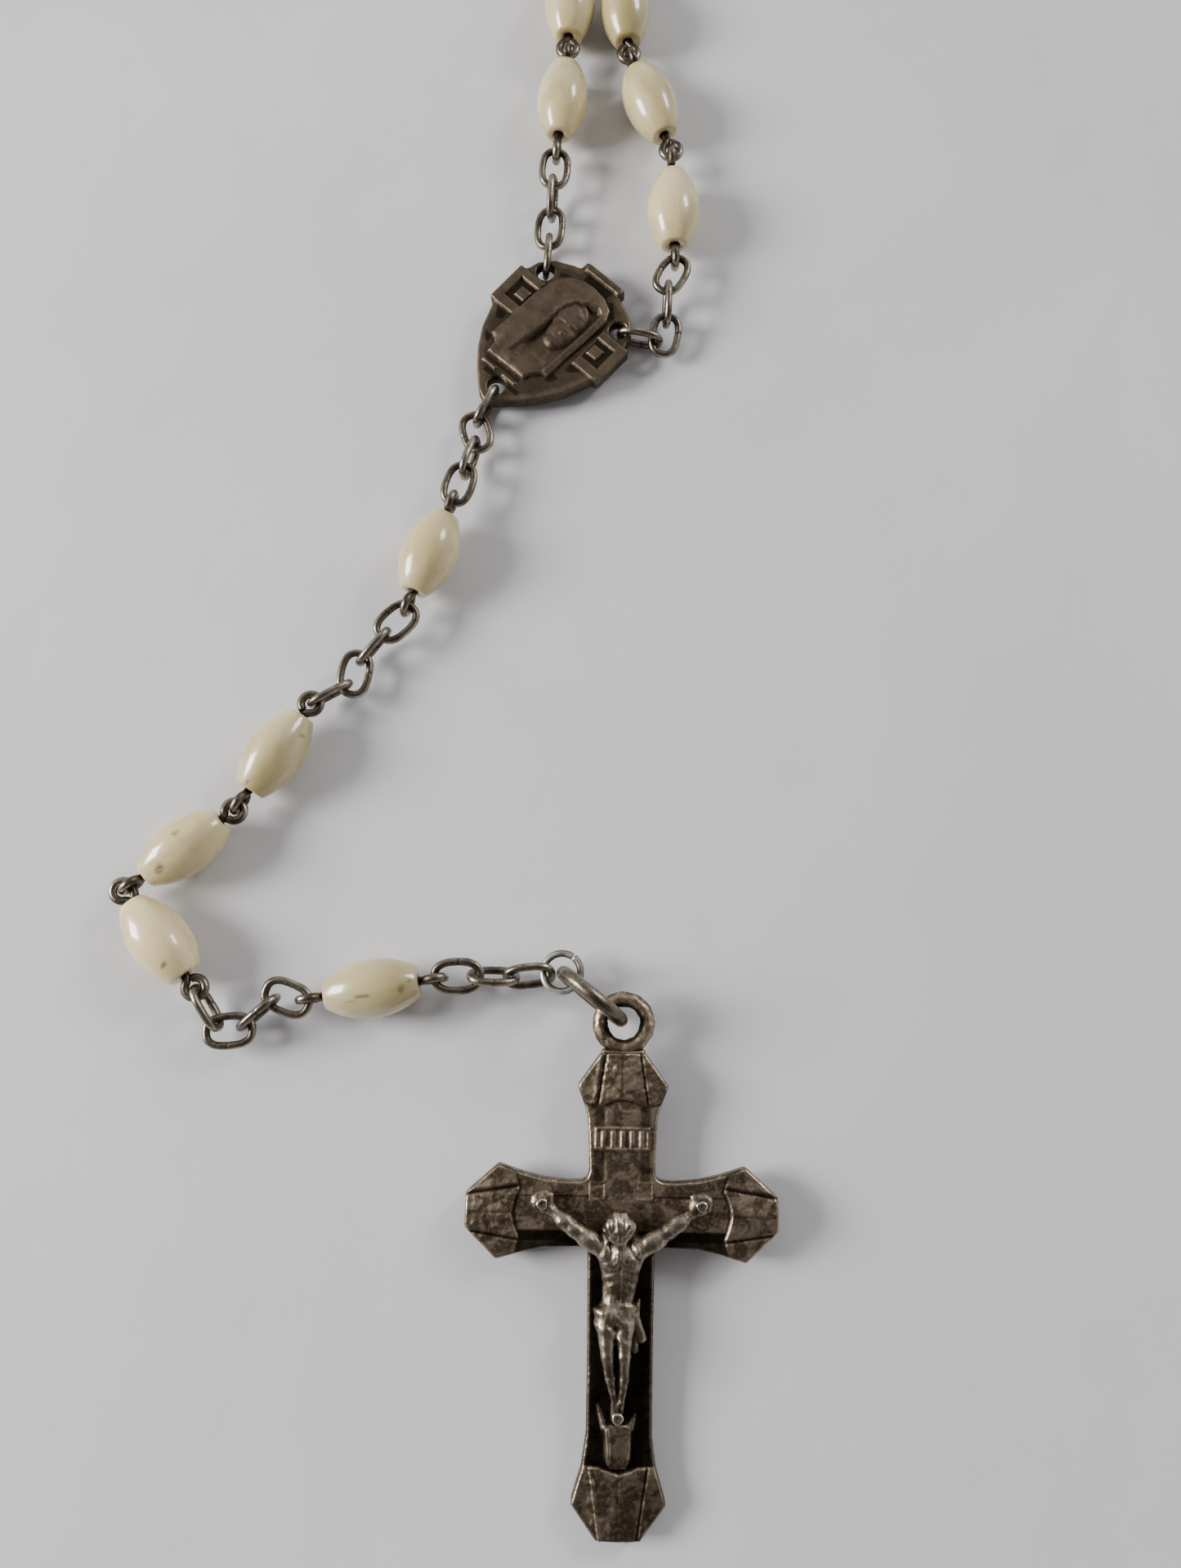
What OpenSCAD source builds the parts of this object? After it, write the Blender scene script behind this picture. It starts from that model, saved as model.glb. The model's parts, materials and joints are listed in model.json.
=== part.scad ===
// Five-decade rosary laid out on a table: olive beads on eye pins, oval chain links,
// a heart-shaped centre medal and a crucifix with a separate cast figure.
// All sizes are in millimetres. The table is the plane z = 0.

/* [Beads] */
// Length of an olive bead along its pin
bead_l = 8; // [7.9:0.05:8]
// Largest diameter of a bead
bead_d = 5.2; // [4.8:0.1:5.2]
// Diameter of a bead's flat ends
bead_end_d = 2.6; // [2.2:0.1:3]
// Diameter of the hole through a bead
bead_bore_d = 0.9; // [0.85:0.05:1.1]

/* [Eye pins] */
// Wire of the straight part of a pin
shank_wire = 0.72; // [0.6:0.02:0.74]
// Wire of the eyes at the pin's ends
eye_wire = 0.78; // [0.76:0.01:0.78]
// Outer diameter of an eye
eye_d = 2.5; // [2.5:0.02:2.56]

/* [Chain links] */
// Length of an oval link
link_l = 4.6; // [4.5:0.05:4.7]
// Width of an oval link
link_w = 3.15; // [3.1:0.05:3.25]
// Wire of a link
link_wire = 0.72; // [0.64:0.02:0.72]

/* [Rings at the crucifix] */
// Outer diameter of the large jump ring
ring_d = 7.3; // [7.2:0.05:7.3]
// Wire of the large jump ring
ring_wire = 1.2; // [1:0.05:1.2]
// Outer diameter of the small jump ring
small_ring_d = 3.8; // [3.7:0.05:3.9]
// Wire of the small jump ring
small_ring_wire = 0.6; // [0.5:0.02:0.6]

/* [Crucifix] */
// Thickness of the crucifix plate
cross_t = 1.5; // [1.2:0.1:1.6]
// Depth of the dark recess round the figure
recess_depth = 0.25; // [0.15:0.05:0.4]
// Outer diameter of the cast eye
cross_eye_d = 5.24; // [5.1:0.02:5.3]
// Diameter of the hole in the cast eye
cross_eye_hole = 2.64; // [2.6:0.02:2.7]

/* [Medal] */
// Thickness of the medal plate
medal_t = 1.2; // [1:0.05:1.2]
// Radius of the three link holes
hole_r = 0.85; // [0.8:0.01:0.9]
// Height of the medal's raised relief
relief_h = 0.5; // [0.3:0.05:0.7]

/* [Hidden] */
$fn = 64;
gap = 0.05;            // clearance round a nail and inside the medal's links
slack = 0.12;          // play between two linked wires, so that one can tip against the other
bead_z = bead_d / 2;   // height of a pin's axis when its bead rests on the table
chain_z = 1.85;        // height of a chain's axis where it lies low
medal_z = 1;           // underside of the medal, held up by the links through its holes
deep = 4;              // longer than any cut has to be

// Centre of the footprint, measured from the middle of the medal
foot = [57.12, 10.24, 0];

bead_colour = [0.90, 0.87, 0.74];
wire_colour = [0.38, 0.35, 0.31];
cast_colour = [0.36, 0.33, 0.29];
bright_colour = [0.80, 0.79, 0.76];
figure_colour = [0.60, 0.57, 0.52];

// ---- where pieces hook together --------------------------------------------------------
// Two linked pieces turn about the arc centre of the one that lies flat, the hub. The other
// one, the bar, stands across it. A reach is the distance from a piece's middle to the
// turning point at one of its ends.
eye_mid_r = (eye_d - eye_wire) / 2;
eye_x = bead_l / 2 + eye_d / 2 + gap;
link_hole_r = link_w / 2 - link_wire;
eye_hole_r = eye_d / 2 - eye_wire;
small_hole_r = small_ring_d / 2 - small_ring_wire;
link_hub = (link_l - link_w) / 2;
pin_hub = eye_x;

function hook(play) = play - min(slack, play);
function link_bar(hub_hole_r) = (link_l - link_wire) / 2 + hook(hub_hole_r - link_wire / 2);
function pin_bar(hub_hole_r) = eye_x + eye_mid_r + hook(hub_hole_r - eye_wire / 2);
plate_bar = link_hub + hole_r + sqrt(pow(link_hole_r - gap, 2) - pow(medal_t / 2, 2));

// ---- routes ----------------------------------------------------------------------------
// A route is a list of rows, one for each piece in order along the chain:
// [reach in, reach out, heading, height of the far turning point, roll in, roll out].
// A roll of 0 lies flat and 90 stands on edge.
function link_hub_row(heading, z, roll) = [link_hub, link_hub, heading, z, roll, roll];
function link_bar_row(heading, z, roll, hole_in, hole_out) =
    [link_bar(hole_in), link_bar(hole_out), heading, z, roll, roll];
function plate_link_row(heading, roll) =
    [plate_bar, link_bar(link_hole_r), heading, medal_mid, roll, roll];
// A loose pin is longer than its bead by the two lengths at the end of the row.
function pin_row(heading, hub_in = true, hole_in = 0, hole_out = 0, more_in = 0, more_out = 0) =
    [(hub_in ? pin_hub : pin_bar(hole_in)) + more_in, pin_bar(hole_out) + more_out, heading, bead_z,
     hub_in ? 0 : 90, 90, more_in, more_out];
function last_pin_row(heading) = [pin_hub, pin_hub, heading, bead_z, 0, 0, 0, 0];

function row_length(row) = row[0] + row[1];
function row_pitch(p, row) = asin((row[3] - p.z) / row_length(row));
function far_end(p, row) =
    p + row_length(row) * [cos(row_pitch(p, row)) * cos(row[2]),
                           cos(row_pitch(p, row)) * sin(row[2]),
                           sin(row_pitch(p, row))];
function turning_points(p, rows, i = 0) =
    i == len(rows) ? [p] : concat([p], turning_points(far_end(p, rows[i]), rows, i + 1));

// Pendant, from the medal's tip to the small ring
medal_turn = -42.1;    // the medal's upright axis, measured from +Y
medal_mid = medal_z + medal_t / 2;
tip_hole = [0, -7.7];
top_hole = [4.7, 4.3];
function on_medal(p) = [p.x * cos(medal_turn) - p.y * sin(medal_turn),
                        p.x * sin(medal_turn) + p.y * cos(medal_turn), medal_mid];

pendant_rows = [
    plate_link_row(-117.5, 84),
    link_hub_row(-72.5, medal_mid + 0.14, 8),
    link_bar_row(-108, bead_z, 96, link_hole_r, link_hole_r),
    link_hub_row(-107.5, bead_z, 0),
    pin_row(-110.5, false, link_hole_r, link_hole_r),
    link_hub_row(-136, bead_z, -8),
    link_bar_row(-131.5, chain_z, 78, link_hole_r, link_hole_r),
    link_hub_row(-100, chain_z, -6),
    link_bar_row(-147, bead_z, 78, link_hole_r, eye_hole_r),
    pin_row(-122.5, true, 0, eye_hole_r),
    pin_row(-142.5, true, 0, eye_hole_r),
    last_pin_row(-50.5),
    link_bar_row(-59, chain_z, 100, eye_hole_r, link_hole_r),
    link_hub_row(4.5, chain_z, 0),
    link_bar_row(40, bead_z, 94, link_hole_r, link_hole_r),
    link_hub_row(-22, bead_z, 6),
    pin_row(9, false, link_hole_r, link_hole_r),
    link_hub_row(1.5, bead_z, 12),
    link_bar_row(-0.5, 2, -62, link_hole_r, link_hole_r),
    [link_hub, link_bar(small_hole_r), 6, 2.05, 56, 56],
];
pendant = turning_points(on_medal(tip_hole), pendant_rows);

// The two strands that leave the top of the medal, as far as each one's second bead
left_rows = [
    plate_link_row(86, 96),
    link_hub_row(85.5, medal_mid + 0.14, -12),
    link_bar_row(85.5, bead_z, 84, link_hole_r, link_hole_r),
    link_hub_row(85.5, bead_z, 4),
    pin_row(85, false, link_hole_r, eye_hole_r, 0.6, 0),
    pin_row(88, true, 0, eye_hole_r),
];
left_strand = turning_points(on_medal([-top_hole.x, top_hole.y]), left_rows);

right_rows = [
    plate_link_row(-11.5, 96),
    link_hub_row(78.5, medal_mid + 0.14, 8),
    link_bar_row(88, bead_z, 94, link_hole_r, link_hole_r),
    link_hub_row(60, bead_z, 0),
    pin_row(91, false, link_hole_r, eye_hole_r, 0, 0.5),
    pin_row(110, true, 0, eye_hole_r, 0.5, 0),
];
right_strand = turning_points(on_medal(top_hole), right_rows);

// The rest of the loop. Each half is a list of 41 pieces; its headings are read from a short
// table of [piece number, heading] and change evenly between the entries.
half_pieces = 41;
first_links = [8, 9, 10, 11];
second_links = [13, 14, 15, 16];
third_links = [27, 28, 29, 30];
fourth_links = [32, 33, 34, 35];
chain_places = concat(first_links, second_links, third_links, fourth_links);
left_headings = [[0, 90], [2, 84], [6, 40], [9, 8], [17, -6], [22, -49.5], [27, -88], [34, -91.5], [40, -92]];
right_headings = [[0, 94], [1, 80], [3, 20], [8, 0], [10, -20], [14, -80], [20, -93], [26, -88],
                  [31, -47.5], [35, 1], [40, 89]];

// Place of piece k within its run of four links: 0 to 3, or -1 for a bead's pin
function in_chain(k) = len(search(k, chain_places)) == 0 ? -1 : search(k, chain_places)[0] % 4;
function half_row(k, heading, open_end) =
    let (c = in_chain(k), lean = 10 * sin(137 * k))
    c == 0 ? link_hub_row(heading, bead_z, lean / 2) :
    c == 1 ? link_bar_row(heading, chain_z, 90 + lean, link_hole_r, link_hole_r) :
    c == 2 ? link_hub_row(heading, chain_z, lean) :
    c == 3 ? link_bar_row(heading, bead_z, 90 + lean, link_hole_r, eye_hole_r) :
    k == half_pieces - 1 && open_end ? last_pin_row(heading) :
    k == 7 || k == 12 || k == 26 || k == 31 ? pin_row(heading, true, 0, link_hole_r) :
    pin_row(heading, true, 0, eye_hole_r);
function half_rows(headings, open_end) =
    [for (k = [0 : half_pieces - 1]) half_row(k, lookup(k, headings), open_end)];

left_half_rows = half_rows(left_headings, false);
right_half_rows = half_rows(right_headings, true);
left_half = turning_points(left_strand[6], left_half_rows);
right_half = turning_points(right_strand[6], right_half_rows);

// Moves a piece that was drawn along X into its place on a route
module on_route(points, rows, i) {
    p = points[i];
    row = rows[i];
    middle = p + (far_end(p, row) - p) * row[0] / row_length(row);
    translate(middle - foot) rotate([0, -row_pitch(p, row), row[2]]) children();
}

// ---- repeated pieces -------------------------------------------------------------------
module wire_ring(mid_r, wire_r) {
    rotate_extrude() translate([mid_r, 0]) circle(r = wire_r, $fn = 32);
}

module wire_arc(mid_r, wire_r, turn) {
    rotate_extrude(angle = turn) translate([mid_r, 0]) circle(r = wire_r, $fn = 32);
}

// An oval with straight sides
module oval_link() {
    end_r = (link_w - link_wire) / 2;
    for (turn = [0, 180]) rotate([0, 0, turn]) {
        translate([0, end_r, 0]) rotate([0, 90, 0])
            cylinder(d = link_wire, h = link_l - link_w, center = true, $fn = 32);
        translate([link_hub, 0, 0]) rotate([0, 0, -90]) wire_arc(end_r, link_wire / 2, 180);
    }
}

module olive_bead() {
    half_l = bead_l / 2;
    drop = (bead_d - bead_end_d) / 2;
    arc_r = (half_l * half_l + drop * drop) / (2 * drop);
    rotate([0, 90, 0]) rotate_extrude() difference() {
        intersection() {
            translate([bead_d / 2 - arc_r, 0]) circle(r = arc_r, $fn = 128);
            translate([0, -half_l]) square([bead_d, bead_l]);
        }
        translate([-1, -half_l - 1]) square([1 + bead_bore_d / 2, bead_l + 2]);
    }
}

// A straight wire with a ring bent at each end. Each ring's cut end stops just short of the wire.
eye_turn = 346;
module pin_eye(roll, more) {
    rotate([roll, 0, 0]) translate([eye_x + more, 0, 0]) rotate([0, 0, 180]) wire_arc(eye_mid_r, eye_wire / 2, eye_turn);
}

module eye_pin(roll_in, roll_out, more_in, more_out) {
    half_shank = eye_x - eye_mid_r;
    translate([-half_shank - more_in, 0, 0]) rotate([0, 90, 0])
        cylinder(d = shank_wire, h = 2 * half_shank + more_in + more_out, $fn = 32);
    pin_eye(roll_out, more_out);
    rotate([0, 0, 180]) pin_eye(-roll_in, more_in);
}

module link_on(points, rows, i) {
    color(wire_colour) on_route(points, rows, i) rotate([rows[i][4], 0, 0]) oval_link();
}

module pin_on(points, rows, i) {
    color(wire_colour) on_route(points, rows, i) eye_pin(rows[i][4], rows[i][5], rows[i][6], rows[i][7]);
}

module bead_on(points, rows, i) {
    color(bead_colour) on_route(points, rows, i) olive_bead();
}

// Beads or wires of a stretch of the loop, from piece a to piece b
module stretch_beads(points, rows, a, b) {
    for (k = [a : b]) if (in_chain(k) < 0) bead_on(points, rows, k);
}

module stretch_wires(points, rows, a, b) {
    for (k = [a : b]) {
        if (in_chain(k) < 0) pin_on(points, rows, k);
        else link_on(points, rows, k);
    }
}

// ---- rings at the crucifix -------------------------------------------------------------
ring_mid_r = (ring_d - ring_wire) / 2;
small_mid_r = (small_ring_d - small_ring_wire) / 2;
ring_heading = -39;
small_ring_at = pendant[20] + [0, 0, 0.2];
ring_at = [small_ring_at.x + 3.3 * cos(ring_heading), small_ring_at.y + 3.3 * sin(ring_heading), ring_d / 2];
cross_eye_z = 2.6;
cross_at = [ring_at.x + 3.4 * cos(ring_heading), ring_at.y + 3.4 * sin(ring_heading), cross_eye_z];

module small_ring() {
    color(bright_colour) translate(small_ring_at - foot) rotate([0, -5, ring_heading])
        rotate([0, 0, 60]) wire_arc(small_mid_r, small_ring_wire / 2, 354);
}

module crucifix_ring() {
    color(cast_colour) translate(ring_at - foot) rotate([90, 0, ring_heading])
        rotate([0, 0, -90]) wire_arc(ring_mid_r, ring_wire / 2, 357);
}

// ---- crucifix --------------------------------------------------------------------------
// Drawn with the middle of its eye at the origin, the shaft along -Y and the front towards +Z
cross_tilt = 2.66;
cross_turn = -1;
cross_half = [
    [0, -2.4], [1.85, -2.4], [3.75, -5.05], [3.1, -6.75], [2.87, -7.6], [2.68, -11.9],
    [3, -12.55], [4.4, -12.65], [6.3, -12.5], [8.1, -12.05], [10.1, -11.4], [12.65, -13.65],
    [12.7, -16.3], [10.1, -18.8], [8.1, -18.2], [6.3, -17.8], [3.4, -17.7], [2.7, -18.3],
    [2.6, -31.8], [2.95, -34.3], [3.73, -36.8], [1.72, -39.45], [0, -39.45],
];
recess_half = [[0, -18.1], [2.1, -18.1], [2.1, -31.9], [2.35, -34], [0, -34]];
arm_recess = [[2.2, -13.3], [8.2, -13.3], [8.2, -17.2], [2.2, -17.2]];
arm_y = -15.15;
front = cross_t / 2;

module mirrored(half) {
    for (side = [0, 1]) mirror([side, 0, 0]) polygon(half);
}

module in_cross_place() {
    translate(cross_at - foot) rotate([0, 0, cross_turn]) rotate([cross_tilt, 0, 0]) children();
}

// A fan-shaped cap at the end of an arm, drawn at the top with the eye above it
cap_half = [[0, -2.55], [1.75, -2.55], [3.55, -5.05], [3, -6.55], [1.6, -6.9], [0, -6.4]];
module cap_relief(rise) {
    linear_extrude(front + rise) mirrored(cap_half);
    for (side = [-1, 1])
        linear_extrude(front + rise + 0.12)
            polygon([[side * 1.35, -2.7], [side * 1.6, -2.7], [side * 2.2, -6.6], [side * 1.85, -6.6]]);
}

module cross_plate() {
    difference() {
        translate([0, 0, -front]) linear_extrude(cross_t) mirrored(cross_half);
        translate([0, 0, front - recess_depth]) linear_extrude(deep) mirrored(recess_half);
        for (side = [0, 1]) mirror([side, 0, 0])
            translate([0, 0, front - recess_depth]) linear_extrude(deep) polygon(arm_recess);
    }
}

module cross_relief() {
    cap_relief(0.25);
    for (side = [-1, 1]) translate([side * 27.75 + side * -12.5, arm_y, 0]) rotate([0, 0, -90 * side]) cap_relief(0.25);
    translate([0, -42, 0]) rotate([0, 0, 180]) cap_relief(0.25);
}

cross_mid = 0;
bar_half_w = 1.15;
module cross_bars() {
    rise = front + 0.12;
    translate([-1.5, -14.1, 0]) cube([3, 7.2, rise]);
    translate([-2.2, -10.2, 0]) cube([4.4, 1.85, rise + 0.2]);
    translate([-8.3, arm_y - bar_half_w, 0]) cube([16.6, 2 * bar_half_w, rise - 0.2]);
    translate([-bar_half_w, -34, 0]) cube([2 * bar_half_w, 18, rise - 0.2]);
    for (side = [-1, 1]) translate([side * 2 - 0.6, -14.1, 0]) cube([1.2, 1.4, rise + 0.05]);
}

nail_r = 0.28;
hand = [6.4, -14.3];
feet = [0.1, -30.2];
nail_points = [[-hand.x, hand.y], [hand.x, hand.y], feet];
module nail_holes() {
    for (p = nail_points) translate([p.x, p.y, 0]) cylinder(r = nail_r + gap, h = deep);
}

module crucifix() {
    color(cast_colour) in_cross_place() difference() {
        union() {
            cross_plate();
            cross_relief();
            cross_bars();
            wire_ring((cross_eye_d + cross_eye_hole) / 4, (cross_eye_d - cross_eye_hole) / 4);
            translate([-1.35, -3, -0.5]) cube([2.7, 1.1, 1]);
        }
        nail_holes();
    }
}

// The figure is one casting that stands off the cross. Each limb is a rounded bar between two balls.
skin = front + 0.03;   // lowest level of the figure, just clear of the cross
module limb(a, ra, b, rb) {
    hull() {
        translate(a) sphere(r = ra, $fn = 16);
        translate(b) sphere(r = rb, $fn = 16);
    }
}

module corpus() {
    lift = skin + 0.35;
    color(figure_colour) in_cross_place() difference() {
        union() {
            for (side = [-1, 1]) {
                limb([side * 6.5, -14.2, lift + 0.25], 0.62, [side * 4.1, -15.9, lift + 0.5], 0.5);
                limb([side * 4.1, -15.9, lift + 0.5], 0.52, [side * 1.45, -17.9, lift + 0.75], 0.72);
                limb([side * 0.75, -18.3, lift + 0.7], 0.95, [side * 0.45 - 0.2, -20.8, lift + 0.6], 0.75);
                limb([side * 0.62 - 0.5, -23.2, lift + 0.6], 0.92, [side * 0.6 - 0.55, -26.1, lift + 0.85], 0.6);
                limb([side * 0.55 - 0.5, -26.2, lift + 0.85], 0.56, [side * 0.22 - 0.12, -29.8, lift + 0.3], 0.36);
                limb([side * 0.22 - 0.12, -29.8, lift + 0.3], 0.36, [side * 0.17 - 0.12, -31.1, lift + 0.1], 0.34);
            }
            limb([-0.15, -20.6, lift + 0.6], 1, [-0.5, -22.8, lift + 0.5], 1.25);
            limb([-0.2, -15.7, lift + 1.3], 1.05, [-0.2, -16.5, lift + 1.3], 0.95);
            limb([-0.1, -16.9, lift + 1], 0.7, [0, -18, lift + 0.7], 0.9);
            limb([1.05, -22.6, lift + 0.4], 0.36, [1.75, -24.9, lift], 0.3);
        }
        nail_holes();
        translate([-10, -40, -deep]) cube([20, 30, deep + skin]);
    }
}

nail_top = skin + 1.3;
module corpus_nails() {
    color(figure_colour) in_cross_place() for (p = nail_points) translate([p.x, p.y, 0]) {
        translate([0, 0, 0.1]) cylinder(r = nail_r, h = nail_top - 0.1);
        translate([0, 0, nail_top]) intersection() {
            sphere(r = 0.48);
            translate([-1, -1, 0]) cube(2);
        }
    }
}

// ---- medal -----------------------------------------------------------------------------
// Drawn upright round its own middle, with its back at z = 0
medal_half = [
    [0, -9.6], [1.1, -8.9], [2.6, -7.5], [4.1, -5.8], [5.4, -3.6], [6.1, -1.2], [6.85, -1.2],
    [6.95, 3.3], [6.3, 3.3], [6, 5.1], [4.6, 6.1], [3.1, 6.6], [2.4, 7], [2.4, 7.9], [0, 7.9],
];
field_half = [
    [0, -6.6], [2.1, -6.6], [3.7, -4.9], [4.8, -3], [5.3, -1.5], [3, -1.5], [3, 3.4], [3.2, 5.2],
    [2, 6.3], [0, 6.4],
];
frame_x = 4.9;
frame_y = 1.05;
module square_frame() {
    difference() {
        translate([-1.7, -2, 0]) cube([3.4, 4, medal_t + relief_h * 0.6]);
        translate([-1.1, -1.1, medal_t]) cube([2.2, 2.2, deep]);
    }
    translate([-0.5, -0.5, 0]) cube([1, 1, medal_t + relief_h * 0.5]);
}

// A veiled bust in profile, reduced to three flat steps
module bust() {
    linear_extrude(medal_t + relief_h * 0.5) polygon([
        [-2.6, -6.2], [2, -6.2], [2.8, -2], [2.9, 3.2], [2, 4.9], [0.2, 5.6], [-1.6, 5], [-3, 2.8], [-3.2, -2]]);
    linear_extrude(medal_t + relief_h * 0.8) polygon([
        [-2.2, -4.4], [-0.6, -1.8], [0.1, 1.6], [0.9, 3.8], [0.2, 4.8], [-1.4, 4.2], [-2.6, 2.2], [-2.9, -1.8]]);
    linear_extrude(medal_t + relief_h) translate([1, 1.4]) scale([1, 1]) circle(r = 1.5);
}

module medal() {
    color(cast_colour) translate([0, 0, medal_z] - foot) rotate([0, 0, medal_turn]) difference() {
        union() {
            difference() {
                linear_extrude(medal_t) mirrored(medal_half);
                translate([0, 0, medal_t - 0.3]) linear_extrude(deep) mirrored(field_half);
            }
            bust();
            for (side = [-1, 1]) translate([side * frame_x, frame_y, 0]) square_frame();
            translate([-2.3, 6.8, 0]) cube([4.6, 1, medal_t + relief_h * 0.5]);
            translate([-1.8, -7, 0]) cube([3.6, 0.3, medal_t + relief_h * 0.3]);
        }
        for (p = [tip_hole, top_hole, [-top_hole.x, top_hole.y]])
            translate([p.x, p.y, -1]) cylinder(r = hole_r, h = deep);
    }
}

// Where each run of single pieces sits on its route: [name, route number, first piece, step]
pendant_beads = [16, 11, 10, 9, 4];
module shown(name) {
    children();
}

medal();
crucifix();
corpus();
corpus_nails();
crucifix_ring();
small_ring();
for (i = [1 : 3]) link_on(pendant, pendant_rows, 20 - i);
for (i = [1 : 4]) {
    link_on(pendant, pendant_rows, 16 - i);
    link_on(pendant, pendant_rows, 9 - i);
    link_on(pendant, pendant_rows, 4 - i);
    link_on(left_strand, left_rows, i - 1);
    link_on(right_strand, right_rows, i - 1);
}
for (i = [1 : 5]) {
    bead_on(pendant, pendant_rows, pendant_beads[i - 1]);
    pin_on(pendant, pendant_rows, pendant_beads[i - 1]);
}
for (i = [1 : 2]) {
    bead_on(left_strand, left_rows, 3 + i);
    pin_on(left_strand, left_rows, 3 + i);
    bead_on(right_strand, right_rows, 3 + i);
    pin_on(right_strand, right_rows, 3 + i);
}
stretch_beads(left_half, left_half_rows, 0, 7);  // decade_1_beads
stretch_wires(left_half, left_half_rows, 0, 7);  // decade_1_wires
stretch_beads(left_half, left_half_rows, 8, 26);  // decade_2_beads
stretch_wires(left_half, left_half_rows, 8, 26);  // decade_2_wires
stretch_beads(left_half, left_half_rows, 27, 40);  // decade_3a_beads
stretch_wires(left_half, left_half_rows, 27, 40);  // decade_3a_wires
stretch_beads(right_half, right_half_rows, 27, 40);  // decade_3b_beads
stretch_wires(right_half, right_half_rows, 27, 40);  // decade_3b_wires
stretch_beads(right_half, right_half_rows, 8, 26);  // decade_4_beads
stretch_wires(right_half, right_half_rows, 8, 26);  // decade_4_wires
stretch_beads(right_half, right_half_rows, 0, 7);  // decade_5_beads
stretch_wires(right_half, right_half_rows, 0, 7);  // decade_5_wires
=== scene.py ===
"""Looks of the rosary: shell beads, oxidised wire, cast medal and crucifix, in the CAD frame."""
import json
import math

import bpy
import numpy as np
from mathutils import Matrix


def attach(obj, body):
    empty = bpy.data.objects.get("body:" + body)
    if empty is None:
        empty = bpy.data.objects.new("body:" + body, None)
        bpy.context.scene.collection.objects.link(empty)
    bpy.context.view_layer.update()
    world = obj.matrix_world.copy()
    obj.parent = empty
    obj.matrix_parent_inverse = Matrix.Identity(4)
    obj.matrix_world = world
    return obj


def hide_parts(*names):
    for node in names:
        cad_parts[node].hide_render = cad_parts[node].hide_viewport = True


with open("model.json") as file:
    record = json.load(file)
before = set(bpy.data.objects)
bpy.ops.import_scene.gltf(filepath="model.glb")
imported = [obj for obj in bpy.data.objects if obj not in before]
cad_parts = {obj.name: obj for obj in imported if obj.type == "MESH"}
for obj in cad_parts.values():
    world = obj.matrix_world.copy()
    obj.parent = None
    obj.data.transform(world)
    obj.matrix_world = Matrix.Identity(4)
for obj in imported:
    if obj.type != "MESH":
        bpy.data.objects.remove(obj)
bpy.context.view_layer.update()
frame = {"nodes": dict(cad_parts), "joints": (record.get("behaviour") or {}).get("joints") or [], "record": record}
MM = 0.001        # the frame is in metres, and the shapes below are in millimetres
BODY_OF = {n: b for b, ns in frame["record"]["behaviour"]["bodies"].items() for n in ns}
JOINTS = {j["name"]: j for j in frame["joints"]}


# ---- camera -----------------------------------------------------------------------------
camera_data = bpy.data.cameras.new("camera")
camera_data.sensor_width = 36
camera_data.lens = 28.083        # a phone's main camera, about 65 degrees over the long side
camera_data.clip_start = 0.005
camera = bpy.data.objects.new("camera", camera_data)
CAMERA_AT = (-0.05340, -0.07764, 0.10667)
CAMERA_TILT = 12.5        # degrees from straight down
camera.location = CAMERA_AT
camera.rotation_euler = (math.radians(CAMERA_TILT), 0, 0)
bpy.context.scene.collection.objects.link(camera)
bpy.context.scene.camera = camera


# ---- small tools ------------------------------------------------------------------------
def unit(v):
    v = np.asarray(v, float)
    return v / np.linalg.norm(v)


def step_up(lo, hi, x):
    t = np.clip((x - lo) / (hi - lo), 0, 1)
    return t * t * (3 - 2 * t)


def hill(t, width):
    """A smooth hill of height 1 at t = 0."""
    return np.exp(-(t / width) ** 2)


def unit_rows(a):
    return a / np.maximum(np.linalg.norm(a, axis=1), 1e-9)[:, None]


def waves(points, size, seed, count=28):
    """Smooth seeded noise with a spread of about 1: a sum of plane waves about `size` mm long."""
    rng = np.random.default_rng(seed)
    total = 0
    for _ in range(count):
        k = rng.normal(size=points.shape[-1])
        k *= 2 * math.pi / size * rng.uniform(0.6, 1.5) / np.linalg.norm(k)
        total = total + np.cos(points @ k + rng.uniform(0, 2 * math.pi))
    return total * math.sqrt(2 / count)


def blur(a, cells):
    """Gaussian blur of a 2D array, by `cells` grid steps."""
    reach = max(1, int(3 * cells))
    weights = np.exp(-0.5 * (np.arange(-reach, reach + 1) / cells) ** 2)
    weights /= weights.sum()
    for axis in (0, 1):
        pad = [(reach, reach) if i == axis else (0, 0) for i in (0, 1)]
        wide = np.pad(a, pad, mode="edge")
        n = a.shape[axis]
        a = sum(w * (wide[i:i + n] if axis == 0 else wide[:, i:i + n]) for i, w in enumerate(weights))
    return a


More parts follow.
